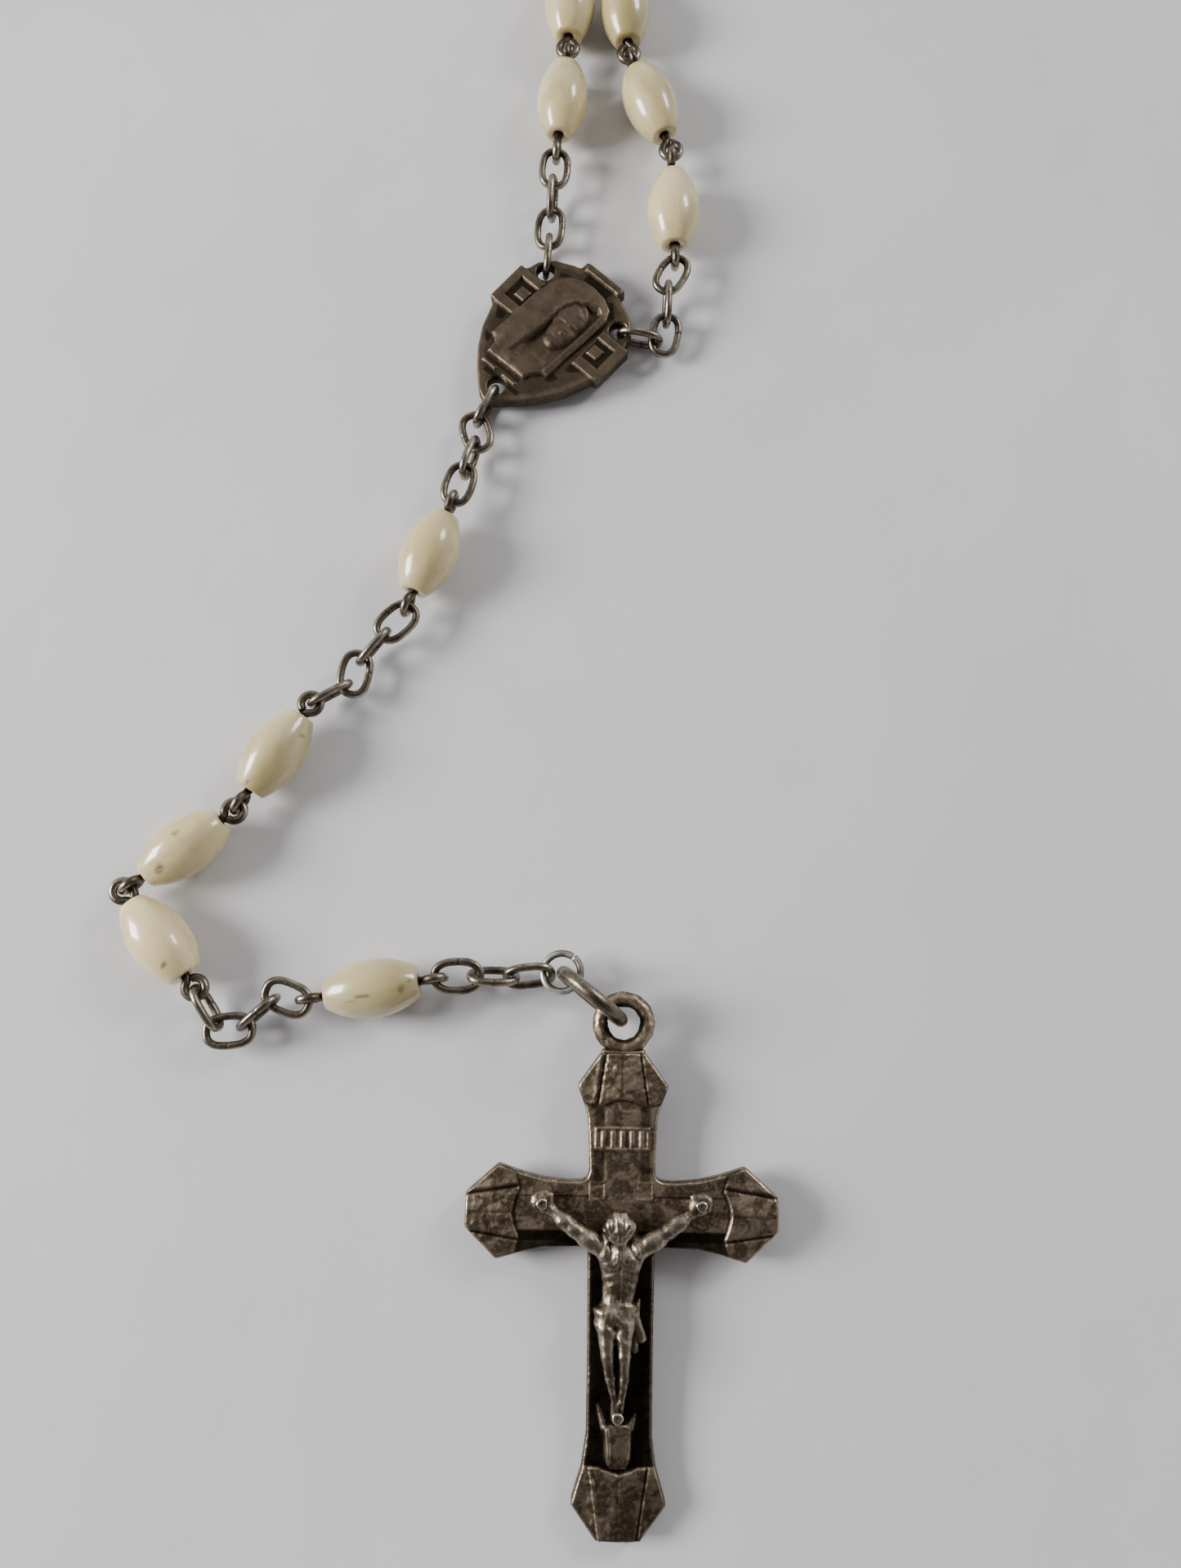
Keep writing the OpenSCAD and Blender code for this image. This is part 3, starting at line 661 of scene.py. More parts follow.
def plate(shape, outline, front, extent, step, back, rim, place, rough, seed):
    """A casting that is flat behind: outline(x, y) is positive on it, and front(x, y) gives height and stain, where the
    crucifix's stain also holds a painted shade on its lower cap.
    """
    xs, ys = (np.arange(lo, hi + step, step) for lo, hi in extent)
    x, y = np.meshgrid(xs, ys)
    edge = blur(outline(x, y), 0.11 / step)
    z, stain = front(x, y)
    z = blur(z, 0.045 / step)
    flat = np.stack([x, y], -1)
    z = z + rough * (0.6 * waves(flat, 0.55, seed) + 0.4 * waves(flat, 0.28, seed + 1))
    cells = (edge[:-1, :-1] + edge[1:, :-1] + edge[:-1, 1:] + edge[1:, 1:]) > 0
    wide = np.pad(cells, 1)
    around = np.stack([wide[1:, 1:], wide[:-1, 1:], wide[1:, :-1], wide[:-1, :-1]])
    used = around.any(0)
    border = used & ~around.all(0)
    gy, gx = np.gradient(edge, step)
    pull = np.where(border, edge / np.maximum(gx * gx + gy * gy, 0.3), 0)
    px, py = x - pull * gx, y - pull * gy
    inner = np.where(border, 0, np.clip(edge, 0, rim))
    z_top = z - (rim - np.sqrt(rim ** 2 - (rim - inner) ** 2))
    inner = np.where(border, 0, np.clip(edge, 0, BACK_RIM))
    z_back = back + BACK_RIM - np.sqrt(BACK_RIM ** 2 - (BACK_RIM - inner) ** 2)
    ids = np.full(x.shape, -1)
    ids[used] = np.arange(used.sum())
    total = used.sum()
    a, b = ids[:-1, :-1][cells], ids[:-1, 1:][cells]
    c, d = ids[1:, 1:][cells], ids[1:, :-1][cells]
    faces = np.column_stack([a, b, c, d]).tolist()
    faces += (np.column_stack([a, d, c, b]) + total).tolist()
    sides = (
        (~wide[:-2, 1:-1] & cells, (0, 0), (0, 1)), (~wide[1:-1, 2:] & cells, (0, 1), (1, 1)),
        (~wide[2:, 1:-1] & cells, (1, 1), (1, 0)), (~wide[1:-1, :-2] & cells, (1, 0), (0, 0)))
    rows, columns = np.indices(cells.shape)
    for open_side, p, q in sides:
        i = ids[rows[open_side] + p[0], columns[open_side] + p[1]]
        j = ids[rows[open_side] + q[0], columns[open_side] + q[1]]
        faces += np.column_stack([j, i, i + total, j + total]).tolist()
    # hollows and proud edges: how far the surface lies below or above the ground round it
    rise = z_top - blur(np.where(edge > 0, z_top, back + 0.3), 0.26 / step)
    near = z_top - blur(z_top, 0.12 / step)
    hollow = np.clip(step_up(0.02, 0.20, -rise) * 0.8 + step_up(0.015, 0.07, -near) * 0.5, 0, 1)
    proud = np.clip(step_up(0.06, 0.30, rise) * 0.35 + step_up(0.012, 0.055, near), 0, 1)
    mark = np.column_stack([hollow[used], proud[used], stain[used]])
    front_side = np.column_stack([px[used], py[used], z_top[used]])
    back_side = np.column_stack([px[used], py[used], z_back[used]])
    verts = np.vstack([front_side, back_side])
    behind = unstained(np.full(total, 0.25), np.zeros(total))
    shape.add(verts, faces, place, None, np.vstack([mark, behind]))


# ---- crucifix --------------------------------------------------------------------------------
lift = JOINTS["crucifix_lift"]
lift_axis = unit(lift["axis"])
ring_at = np.array(lift["pos_m"]) / MM
CROSS_AT = ring_at + 3.4 * np.array([-lift_axis[1], lift_axis[0], 0])
CROSS_AT[2] = 2.6
tilt, swing = math.radians(2.66), math.radians(-1)
tip_over = np.array([[1, 0, 0], [0, math.cos(tilt), -math.sin(tilt)], [0, math.sin(tilt), math.cos(tilt)]])
round_up = np.array([[math.cos(swing), -math.sin(swing), 0], [math.sin(swing), math.cos(swing), 0], [0, 0, 1]])
CROSS_PLACE = ((round_up @ tip_over).T, CROSS_AT)
FACE = 0.75       # the front of the plate, from its middle

CROSS_OUTLINE = both([
    (0, -2.4), (1.85, -2.4), (3.75, -5.05), (3.1, -6.75), (2.87, -7.6), (2.74, -9.6), (2.68, -11.9),
    (2.86, -12.4), (3.3, -12.62), (4.4, -12.66), (6.3, -12.5), (8.1, -12.05), (10.1, -11.4), (12.65, -13.65),
    (12.7, -16.3), (10.1, -18.8), (8.1, -18.2), (6.3, -17.8), (3.4, -17.7), (2.7, -18.0),
    (2.62, -25), (2.6, -31.8), (2.95, -34.3), (3.73, -36.8), (1.72, -39.45), (0, -39.45)])
CAP = both([(0, 2.55), (1.82, 2.55), (3.66, 5.05), (3.02, 6.62), (1.9, 6.95), (0.9, 6.55), (0, 6.38)])
LOW_CAP = both([(0, 2.55), (1.72, 2.55), (3.66, 5.05), (3.02, 7.5), (2.8, 8.0), (1.6, 7.95), (0.8, 7.65), (0, 7.45)])


def cap_front(z, stain, u, v, cap=CAP, ridge=0.0):
    """One fan-shaped end: v runs in from its tip and u across it. Grooves run along both sides and a fine line
    down the middle, and a bright ridge may stand in the groove on the side where u is below 0."""
    where = inside_of(cap, u, v)
    groove = 1.42 + (v - 2.7) * 0.155
    beyond = np.abs(u) - groove
    centre = np.clip(1 - np.abs(u) / groove, 0, 1)
    top = FACE + 0.22 + 0.16 * centre - 0.26 * np.clip(beyond / 1.8, 0, 1)
    top = top - 0.11 * hill(beyond, 0.14) + 0.02 * hill(beyond - 0.30, 0.14)
    top = top - 0.035 * hill(u + 0.05, 0.10)
    top = top + ridge * hill(u + groove, 0.11)
    flat = np.stack([u, v], -1)
    top = top + (0.014 * waves(flat, 0.8, 5) + 0.005 * waves(flat, 0.3, 6)) * step_up(0, 0.4, where)
    share = step_up(-0.07, 0.07, where)
    stain = stain * (1 - share)
    line = hill(beyond, 0.16) * step_up(0, 0.2, where) * np.where(u < 0, ridge == 0, 1)
    line = np.maximum(line, 0.6 * hill(u + 0.05, 0.12) * step_up(0.1, 0.3, where))
    under = hill(where + 0.12, 0.10) * (v > 5.6) * 0.8
    return z + (top - z) * share, np.maximum(stain, np.maximum(0.97 * line, under))


def cross_front(x, y):
    mid_arm = -15.15
    outline = inside_of(CROSS_OUTLINE, x, y)
    z = np.full(x.shape, FACE) + 0.05 * hill(outline - 0.35, 0.25)
    dark = np.zeros(x.shape)
    # sunk fields: slots beside the top bar, the field under the arms and the long field of the shaft
    side = np.abs(x)
    slots = np.maximum(
        box_of(1.4, 2.36, -13.2, -6.6, side, y),
        np.maximum(box_of(0, 8.6, -17.42, -16.35, side, y), box_of(0, 2.14, -34.3, -16.6, side, y)))
    z = level(z, FACE - 0.26, slots)
    dark = np.maximum(dark, step_up(-0.06, 0.2, slots) * (0.95 - 0.32 * step_up(-14, -12.8, y)))
    below = step_up(-17.2, -18.2, y) * step_up(-35.4, -34.6, y)
    dark = np.maximum(dark, 0.93 * below * step_up(0.10, 0.34, outline))
    dark = np.maximum(dark, 0.5 * below)
    under_arm = step_up(-16.3, -16.6, y) * step_up(9.4, 8.4, side) * step_up(-18.6, -18.2, y)
    dark = np.maximum(dark, (0.80 + 0.14 * step_up(7.5, 3.5, side)) * under_arm)
    # the bars of the inner cross
    arm = box_of(0, 8.6, -16.42, -13.82, side, y)
    z = level(z, FACE - 0.04, arm)
    top_line = hill(y + 13.80, 0.075) * step_up(2.5, 2.7, side) * step_up(8.8, 8.3, side)
    z = z - 0.10 * top_line
    dark = np.maximum(dark * (1 - step_up(-0.02, 0.1, arm)), 0.85 * top_line)
    # the arm bar is darker near the middle, round the figure
    darker_near_middle = step_up(3.8, 0.5, np.hypot(x * 0.75, (y + 16.6) * 1.25)) * step_up(0, 0.2, arm)
    dark = np.maximum(dark, 0.62 * darker_near_middle)
    shaft = box_of(0, 1.28, -34.2, -16.4, side, y)
    z, dark = sunk(z, dark, FACE - 0.14, shaft, 0.07, 0.93, -0.1, 0.1)
    bar = box_of(0, 1.42, -16.2, -7.0, side, y)
    z = level(z, FACE + 0.13, np.minimum(bar, y + 14.4))
    dark = cleared(dark, np.minimum(bar, y + 14.1))
    step_line = hill(y + 8.28, 0.06) * step_up(1.6, 1.4, side)
    z = z - 0.08 * step_line
    dark = np.maximum(dark, 0.6 * step_line)
    for corner in (-1, 1):
        block = box_of(1.30, 2.62, -14.12, -12.62, x * corner, y)
        z = level(z, FACE + 0.17, block, 0.05)
        inset = box_of(1.44, 2.46, -13.98, -12.78, x * corner, y)
        z = level(z, FACE + 0.10, inset, 0.05)
        z = z - 0.04 * hill(y + 13.42, 0.06) * step_up(0, 0.1, inset)
        dark = cleared(dark, block)
    # the plaque: a raised edge and plain upright bars
    plaque = box_of(-2.24, 2.24, -10.22, -8.36, x, y)
    z = level(z, FACE + 0.24, plaque, 0.06)
    panel = box_of(-2.06, 2.06, -10.02, -8.56, x, y)
    z = level(z, FACE + 0.14, panel, 0.06)
    dark = cleared(dark, plaque)
    middles = (-1.55, -0.78, 0, 0.78, 1.55)
    ribs = np.maximum.reduce([box_of(c - 0.15, c + 0.15, -9.96, -8.64, x, y) for c in middles])
    z = level(z, FACE + 0.25, ribs, 0.07)
    dark = np.maximum(dark, 0.45 * step_up(0.0, 0.12, panel) * step_up(0.02, -0.1, ribs))
    # four fan-shaped ends
    z, dark = cap_front(z, dark, x, -y + 0.25)
    z, dark = cap_front(z, dark, x, y + 42, LOW_CAP, 0.24)
    # painted shade: the lower cap is darkened a further 0.32, except along its left ridge, standing in for the dark
    # reflection it takes there
    off_ridge = np.abs(x + 1.42 + (y + 39.3) * 0.155)
    dark = np.maximum(dark, 0.32 * step_up(-34.4, -35.2, y) * step_up(0.1, 0.3, off_ridge))
    for corner in (-1, 1):
        z, dark = cap_front(z, dark, corner * (y - mid_arm), 15.25 - corner * x)
    # scroll under the feet
    roll = inside_of([
        (-1.25, -31.6), (-1.2, -31.1), (-0.75, -30.8), (0.65, -30.8), (1.0, -31.2), (0.95, -33.4), (0.6, -34.25),
        (-0.7, -34.3), (-1.15, -33.5)], x, y)
    hump = FACE + 0.05 + 0.55 * np.sqrt(np.clip(1 - ((x + 0.15) / 1.25) ** 2, 0, 1)) * step_up(-35.0, -33.0, y)
    hump = hump + 0.34 * hill(x + 0.95 - 0.10 * np.cos(1.1 * (y + 33)), 0.17)
    z = level(z, hump, roll, 0.12)
    dark = cleared(dark, roll, 0.80, hi=0.15)
    for ax, ay, bx, by in ((-1.72, -29.5, -1.15, -31.2), (1.25, -30.2, 0.85, -31.2)):
        t = np.clip(((x - ax) * (bx - ax) + (y - ay) * (by - ay)) / ((bx - ax) ** 2 + (by - ay) ** 2), 0, 1)
        claw = 0.09 + 0.20 * t - np.hypot(x - ax - t * (bx - ax), y - ay - t * (by - ay))
        z = np.maximum(z, FACE + 0.1 + 0.9 * np.clip(claw, 0, 0.25) * (claw > 0))
        dark = cleared(dark, claw, 0.75, -0.05, 0.06)
    return z, np.clip(dark, 0, 1)


def cross_shape():
    shape = Shape()
    plate(shape, lambda x, y: inside_of(CROSS_OUTLINE, x, y), cross_front, ((-13.1, 13.1), (-39.9, -2.0)),
          0.09, -FACE, 0.22, CROSS_PLACE, 0.006, 11)
    # the cast eye, thicker and rough, with a collar below it
    eye_r, eye_wire, rows, sides = 1.97, 0.65, 96, 26
    turn = np.linspace(0, 2 * math.pi, rows, endpoint=False)
    path = np.column_stack([eye_r * np.cos(turn), eye_r * np.sin(turn), np.zeros(rows)])
    verts, faces, outs = tube(path, eye_wire, sides, True, (0, 0, 1))
    verts = verts - outs * (0.03 + 0.022 * waves(verts, 0.7, 21) + 0.012 * waves(verts, 0.3, 22))[:, None]
    inward = -(outs[:, 0] * verts[:, 0] + outs[:, 1] * verts[:, 1]) / np.hypot(verts[:, 0], verts[:, 1])
    foot = step_up(-1.9, -2.5, verts[:, 1])
    # painted shade: the eye's inner side and its foot by the collar are darkened; and a painted highlight: its left
    # side, facing the left window, is made bright through `left`
    hollow = np.clip(step_up(0.10, 0.70, inward) * 0.95 + 0.6 * foot, 0, 1)
    left = step_up(-0.2, -2.0, verts[:, 0]) * step_up(-0.3, 0.5, outs[:, 2])
    specks = step_up(0.4, 1.5, waves(verts, 0.5, 23))
    proud = np.clip(specks * (0.35 + 0.65 * left) + 0.25 * step_up(0.5, 1, outs[:, 2]), 0, 1)
    shape.add(verts, faces, CROSS_PLACE, None, unstained(hollow, proud))
    collar = [(-1.75, -2.05), (-1.3, -2.2), (1.3, -2.2), (1.75, -2.05), (1.95, -2.75), (-1.95, -2.75)]
    plate(shape, lambda x, y: inside_of(collar, x, y),
          lambda x, y: (np.full(x.shape, 0.62), 0.5 * step_up(-2.35, -2.5, y)),
          ((-2.3, 2.3), (-3.0, -1.8)), 0.09, -0.6, 0.3, CROSS_PLACE, 0.01, 31)
    return shape


stand_in(cross_shape(), "crucifix", CAST)


# ---- figure ------------------------------------------------------------------------------------
def surface(field, origin, step):
    """Closed quad surface of a sampled field, negative inside."""
    inside = field < 0
    nx, ny, nz = field.shape
    cell = (nx - 1, ny - 1, nz - 1)
    corners = [(i, j, k) for i in (0, 1) for j in (0, 1) for k in (0, 1)]

    def at(array, c):
        return array[c[0]:c[0] + cell[0], c[1]:c[1] + cell[1], c[2]:c[2] + cell[2]]

    filled = sum(at(inside, c).astype(np.int8) for c in corners)
    active = (filled > 0) & (filled < 8)
    where = np.argwhere(active)
    total, hits = np.zeros((len(where), 3)), np.zeros(len(where))
    for a in corners:
        for axis in range(3):
            if a[axis]:
                continue
            b = tuple(1 if i == axis else v for i, v in enumerate(a))
            fa, fb = at(field, a)[active], at(field, b)[active]
            cross = (fa < 0) != (fb < 0)
            share = np.where(cross, fa / np.where(cross, fa - fb, 1), 0)
            place = np.array(a, float) + share[:, None] * (np.array(b) - np.array(a))
            total += place * cross[:, None]
            hits += cross
    verts = origin + (where + total / hits[:, None]) * step
    ids = np.full(cell, -1)
    ids[active] = np.arange(len(where))
    faces = []
    for axis in range(3):
        one, two = [i for i in range(3) if i != axis]
        lo, hi = [slice(1, n - 1) for n in field.shape], [slice(1, n - 1) for n in field.shape]
        lo[axis], hi[axis] = slice(0, field.shape[axis] - 1), slice(1, field.shape[axis])
        first, second = inside[tuple(lo)], inside[tuple(hi)]
        p = np.argwhere(first != second)
        out = first[tuple(p.T)]
        p[:, one] += 1
        p[:, two] += 1
        quad = []
        for da, db in ((-1, -1), (0, -1), (0, 0), (-1, 0)):
            q = p.copy()
            q[:, one] += da
            q[:, two] += db
            quad.append(ids[tuple(q.T)])
        quad = np.column_stack(quad)
        flip = out if axis != 1 else ~out
        faces += np.where(flip[:, None], quad, quad[:, ::-1]).tolist()
    return verts, faces


def neighbours(verts, faces):
    quad = np.array(faces)
    total, hits = np.zeros_like(verts), np.zeros(len(verts))
    for k in range(4):
        a, b = quad[:, k], quad[:, (k + 1) % 4]
        for i, j in ((a, b), (b, a)):
            for axis in range(3):
                total[:, axis] += np.bincount(i, verts[j, axis], len(verts))
            hits += np.bincount(i, minlength=len(verts))
    return total / hits[:, None]


def vertex_normals(verts, faces):
    quad = np.array(faces)
    n = np.cross(verts[quad[:, 2]] - verts[quad[:, 0]], verts[quad[:, 3]] - verts[quad[:, 1]])
    total = np.zeros_like(verts)
    for k in range(4):
        for axis in range(3):
            total[:, axis] += np.bincount(quad[:, k], n[:, axis], len(verts))
    return unit_rows(total)


def melt(a, b, width):
    h = np.clip(width - np.abs(a - b), 0, None) / width
    return np.minimum(a, b) - h * h * width / 4


def figure_shape():
    step = 0.095
    origin = np.array([-7.6, -32.2, 0.62])
    shape_n = [int(n / step) for n in (15.2, 19.2, 3.5)]
    grid = np.stack(np.meshgrid(*(origin[i] + np.arange(shape_n[i]) * step for i in range(3)), indexing="ij"), -1)
    x, y, z = grid[..., 0], grid[..., 1], grid[..., 2]
    field = np.full(x.shape, 9.0)

    def limb(a, ra, b, rb, width=0.28):
        nonlocal field
        a, b = np.array(a, float), np.array(b, float)
        e = b - a
        t = np.clip(((grid - a) @ e) / (e @ e), 0, 1)
        d = np.sqrt(((grid - a - t[..., None] * e) ** 2).sum(-1)) - (ra + (rb - ra) * t)
        field = melt(field, d, width)

    def ball(c, r, width=0.3):
        nonlocal field
        r = np.array(r, float)
        q = np.sqrt((((grid - np.array(c)) / r) ** 2).sum(-1))
        field = melt(field, (q - 1) * r.min(), width)

    def carve(c, r, depth, width):
        nonlocal field
        q = np.sqrt((((grid - np.array(c)) / np.array(r, float)) ** 2).sum(-1))
        field = field + depth * np.exp(-np.clip(q, 0, 5) ** 2 / width)

    for s in (-1, 1):
        limb((s * 1.35, -17.75, 1.75), 0.80, (s * 3.85, -16.15, 1.7), 0.62)
        limb((s * 3.85, -16.15, 1.7), 0.64, (s * 5.75, -14.75, 1.5), 0.44)
        ball((s * 4.6, -15.6, 1.75), (0.74, 0.66, 0.52))
        ball((s * 2.5, -17.05, 1.9), (0.95, 0.76, 0.58))
        ball((s * 6.38, -14.15, 1.45), (1.0, 0.96, 0.54))
        for dx, dy in ((0.42, 0.56), (0.66, 0.34), (0.72, 0.0), (0.58, -0.34)):
            limb((s * 6.45, -14.2, 1.5), 0.28, (s * (6.35 + dx), -14.2 + dy, 1.55), 0.22, 0.16)
        limb((s * 6.05, -14.15, 1.55), 0.26, (s * 5.70, -13.62, 1.6), 0.22, 0.16)
        ball((s * 0.74 - 0.05, -18.45, 1.95), (0.90, 0.80, 0.58))
    ball((-0.05, -18.7, 1.6), (1.66, 1.5, 0.92))
    ball((-0.10, -20.0, 1.5), (1.42, 1.3, 0.86))
    ball((-0.20, -21.1, 1.45), (1.28, 1.15, 0.80))
    ball((-0.40, -22.6, 1.5), (1.64, 1.25, 0.94))
    thighs = (((-1.12, -23.2, 1.6), 0.84, (-1.0, -25.6, 1.95), 0.54, 0.2),
              ((0.26, -23.2, 1.6), 0.80, (0.32, -25.6, 1.98), 0.51, 0.2))
    shins = (((-1.0, -25.7, 1.9), 0.52, (-0.76, -27.4, 1.65), 0.40, 0.15),
             ((-0.76, -27.4, 1.65), 0.40, (-0.38, -29.2, 1.4), 0.25, 0.15),
             ((0.32, -25.7, 1.95), 0.50, (0.34, -27.4, 1.65), 0.41, 0.15),
             ((0.34, -27.4, 1.65), 0.41, (0.14, -29.2, 1.45), 0.25, 0.15))
    feet = (((-0.36, -29.3, 1.3), 0.34, (-0.42, -30.4, 1.12), 0.30, 0.15),
            ((0.06, -29.3, 1.45), 0.34, (-0.02, -30.5, 1.2), 0.30, 0.15))
    neck = (((-0.1, -17.0, 1.9), 0.66, (-0.05, -17.9, 1.8), 0.80),)
    for part in thighs + shins + feet + neck:
        limb(*part)
    # the head is bowed: `ahead` is where the face looks and `up` runs from the chin to the brow
    head = np.array([-0.18, -16.0, 2.15])
    ahead, up, across = unit([0.06, -0.62, 0.78]), unit([0.0, 0.78, 0.62]), np.array([1.0, 0, 0])

    def on_head(a, b, c):
        return head + across * a + up * b + ahead * c

    ball(head, (1.20, 1.40, 1.08), 0.2)
    for s in (-1, 1):
        limb(on_head(s * 0.75, 0.55, 0.25), 0.50, on_head(s * 0.98, -0.55, -0.05), 0.42, 0.2)
        limb(on_head(s * 0.98, -0.55, -0.05), 0.46, (-0.15 + s * 0.92, -18.6, 2.15), 0.34, 0.2)
        carve(on_head(s * 0.33, 0.02, 1.02), (0.20, 0.16, 0.24), 0.10, 0.8)
        ball(on_head(s * 0.33, 0.0, 0.92), (0.15, 0.11, 0.12), 0.05)
        ball(on_head(s * 0.42, -0.38, 0.82), (0.25, 0.25, 0.2), 0.2)
    limb(on_head(0, 0.12, 1.0), 0.09, on_head(0, -0.34, 1.15), 0.13, 0.12)
    ball(on_head(0, -0.80, 0.78), (0.42, 0.40, 0.34), 0.2)
    limb(on_head(0, -0.85, 0.75), 0.44, (-0.15, -18.35, 2.5), 0.30, 0.25)
    limb(on_head(0, -0.6, 0.2), 0.75, (-0.1, -18.2, 2.0), 0.62, 0.3)
    carve(on_head(0, -0.58, 1.06), (0.24, 0.06, 0.16), 0.07, 1.0)
    # cloth round the hips, its knot and the two hanging ends
    cloth = step_up(-21.55, -21.85, y) * step_up(-24.7, -24.3, y + 0.25 * (x + 0.5))
    folds = np.sin(4.6 * (y + 0.42 * x + 0.25 * np.sin(2.1 * x)) + 1.2 * np.sin(1.3 * x + y))
    field = field - cloth * (0.07 + 0.06 * folds)
    limb((0.95, -22.75, 1.6), 0.36, (1.1, -23.2, 1.5), 0.3, 0.15)
    limb((1.45, -21.6, 1.2), 0.17, (1.2, -22.7, 1.5), 0.30, 0.12)
    limb((1.15, -22.8, 1.5), 0.36, (1.68, -24.4, 1.25), 0.42, 0.15)
    limb((1.05, -23.2, 1.4), 0.24, (1.15, -25.3, 1.15), 0.34, 0.15)
    # ribs, the middle line, hair strands and small dents
    ribs = np.exp(-(((x + 0.1) / 1.25) ** 4)) * step_up(-17.9, -18.8, y) * step_up(-20.9, -20.2, y)
    field = field + 0.035 * ribs * np.sin(8.5 * (y + 0.30 * np.abs(x + 0.1)))
    middle_line = hill(x + 0.12, 0.16) * step_up(-17.7, -18.2, y) * step_up(-21.8, -21.3, y)
    field = field + 0.07 * middle_line
    carve((-0.2, -21.35, 2.3), (0.14, 0.14, 0.4), 0.10, 1.0)
    rel = grid - head
    over, beside = rel @ up, rel[..., 0]
    near_head = step_up(2.0, 1.6, np.sqrt((rel ** 2).sum(-1)) - 0.2 * (y < -17))
    cap = step_up(0.42, 0.62, over) + step_up(0.62, 0.80, np.abs(beside))
    tresses = (np.abs(beside) < 1.7) * step_up(-18.7, -18.3, y) * step_up(0.55, 0.75, np.abs(beside)) * (z > 1.6)
    strands = np.sin(15 * np.arctan2(beside, 0.9 + np.abs(over)) + 1.2 * np.sin(2.5 * y + beside))
    field = field + 0.055 * np.clip(cap * near_head + tresses * (y < -16.5), 0, 1) * strands
    field = field + 0.05 * hill(beside, 0.10) * step_up(0.5, 0.9, over) * near_head
    whiskers = np.exp(-((beside / 0.42) ** 2)) * step_up(-17.25, -17.45, y) * step_up(-18.5, -18.2, y) * (z > 2.3)
    field = field + 0.045 * whiskers * np.sin(20 * beside)
    field = field + 0.010 * waves(grid, 0.6, 41, 10)
    # the back is flat where it lies on the cross
    field = np.maximum(field, (FACE + 0.03) - z)
    verts, faces = surface(field, origin, step)
    verts = 0.5 * verts + 0.5 * neighbours(verts, faces)
    verts[:, 2] = np.maximum(verts[:, 2], FACE + 0.03)
    normals = vertex_normals(verts, faces)
    wide = verts
    for _ in range(6):
        wide = neighbours(wide, faces)
    curve = ((wide - verts) * normals).sum(1)
    low = step_up(1.7, 0.95, verts[:, 2])
    hollow = np.clip(step_up(-0.01, 0.045, curve) + 0.85 * low, 0, 1)
    proud = np.clip(step_up(0.03, 0.12, -curve) + 0.35 * step_up(2.0, 2.7, verts[:, 2]), 0, 1) * (1 - low)
    shape = Shape()
    shape.add(verts, faces, CROSS_PLACE, None, unstained(hollow, proud))
    return shape


stand_in(figure_shape(), "corpus", FIGURE)


def nails_shape():
    """Three short pins with hammered round heads."""
    shape = Shape()
    sides = 24
    profile = [
        (0.0, 2.30), (0.16, 2.33), (0.30, 2.37), (0.42, 2.32), (0.48, 2.20), (0.46, 2.10), (0.27, 2.04),
        (0.26, 0.85), (0.0, 0.85)]
    top = -0.25
    angle = np.arange(sides) * 2 * math.pi / sides
    for number, (px, py) in enumerate(((-6.4, -14.3), (6.4, -14.3), (-0.15, -30.2))):
        dent = 1 - 0.07 * np.cos(3 * angle + number) - 0.04 * np.cos(5 * angle + 2 * number)
        verts = np.concatenate([
            np.column_stack([px + r * np.cos(angle) * dent, py + r * np.sin(angle) * dent, np.full(sides, h + top)])
            for r, h in profile])
        faces = [face[::-1] for face in rings_to_faces(len(profile), sides, False)]
        worn = np.repeat([0.8 if 0.25 < r < 0.45 and h > 2.2 else 0 for r, h in profile], sides)
        deep = np.repeat([0.6 if r < 0.25 or h < 2.15 else 0 for r, h in profile], sides)
        shape.add(verts, faces, CROSS_PLACE, None, unstained(deep, worn))
    return shape


stand_in(nails_shape(), "corpus_nails", FIGURE)


# ---- medal -----------------------------------------------------------------------------------
MEDAL_TURN = math.radians(-42.1)
MEDAL_AT = np.array([-57.12, -10.24, 1.0])
c, s = math.cos(MEDAL_TURN), math.sin(MEDAL_TURN)
MEDAL_PLACE = (np.array([[c, s, 0], [-s, c, 0], [0, 0, 1]]), MEDAL_AT)
MEDAL_OUTLINE = both([
    (0, -9.6), (1.0, -9.1), (2.6, -7.6), (4.1, -5.9), (5.3, -4.0), (6.1, -1.9), (6.35, -1.28), (6.9, -1.2),
    (6.95, 3.3), (6.35, 3.4), (6.0, 4.7), (4.9, 5.9), (3.2, 6.7), (2.45, 6.95), (2.45, 7.75), (2.2, 7.95), (0, 7.95)])
VEIL = [
    (-3.06, -5.65), (-3.2, -4.6), (-3.5, -4.25), (-4.1, -3.95), (-4.0, -1.6), (-3.85, 1.6), (-3.4, 4.2), (-2.4, 5.3),
    (-1.1, 5.95), (0.1, 6.08), (1.6, 5.85), (2.9, 5.2), (3.4, 4.1), (3.3, 1.6), (3.08, -1.6), (3.06, -3.95),
    (2.45, -4.1), (1.9, -4.5), (1.62, -5.0), (1.52, -5.65)]
HOLES = ((0, -7.7), (4.7, 4.3), (-4.7, 4.3))


def medal_outline(x, y):
    d = inside_of(MEDAL_OUTLINE, x, y)
    for hx, hy in HOLES:
        d = np.minimum(d, np.hypot(x - hx, y - hy) - 0.85)
    return d


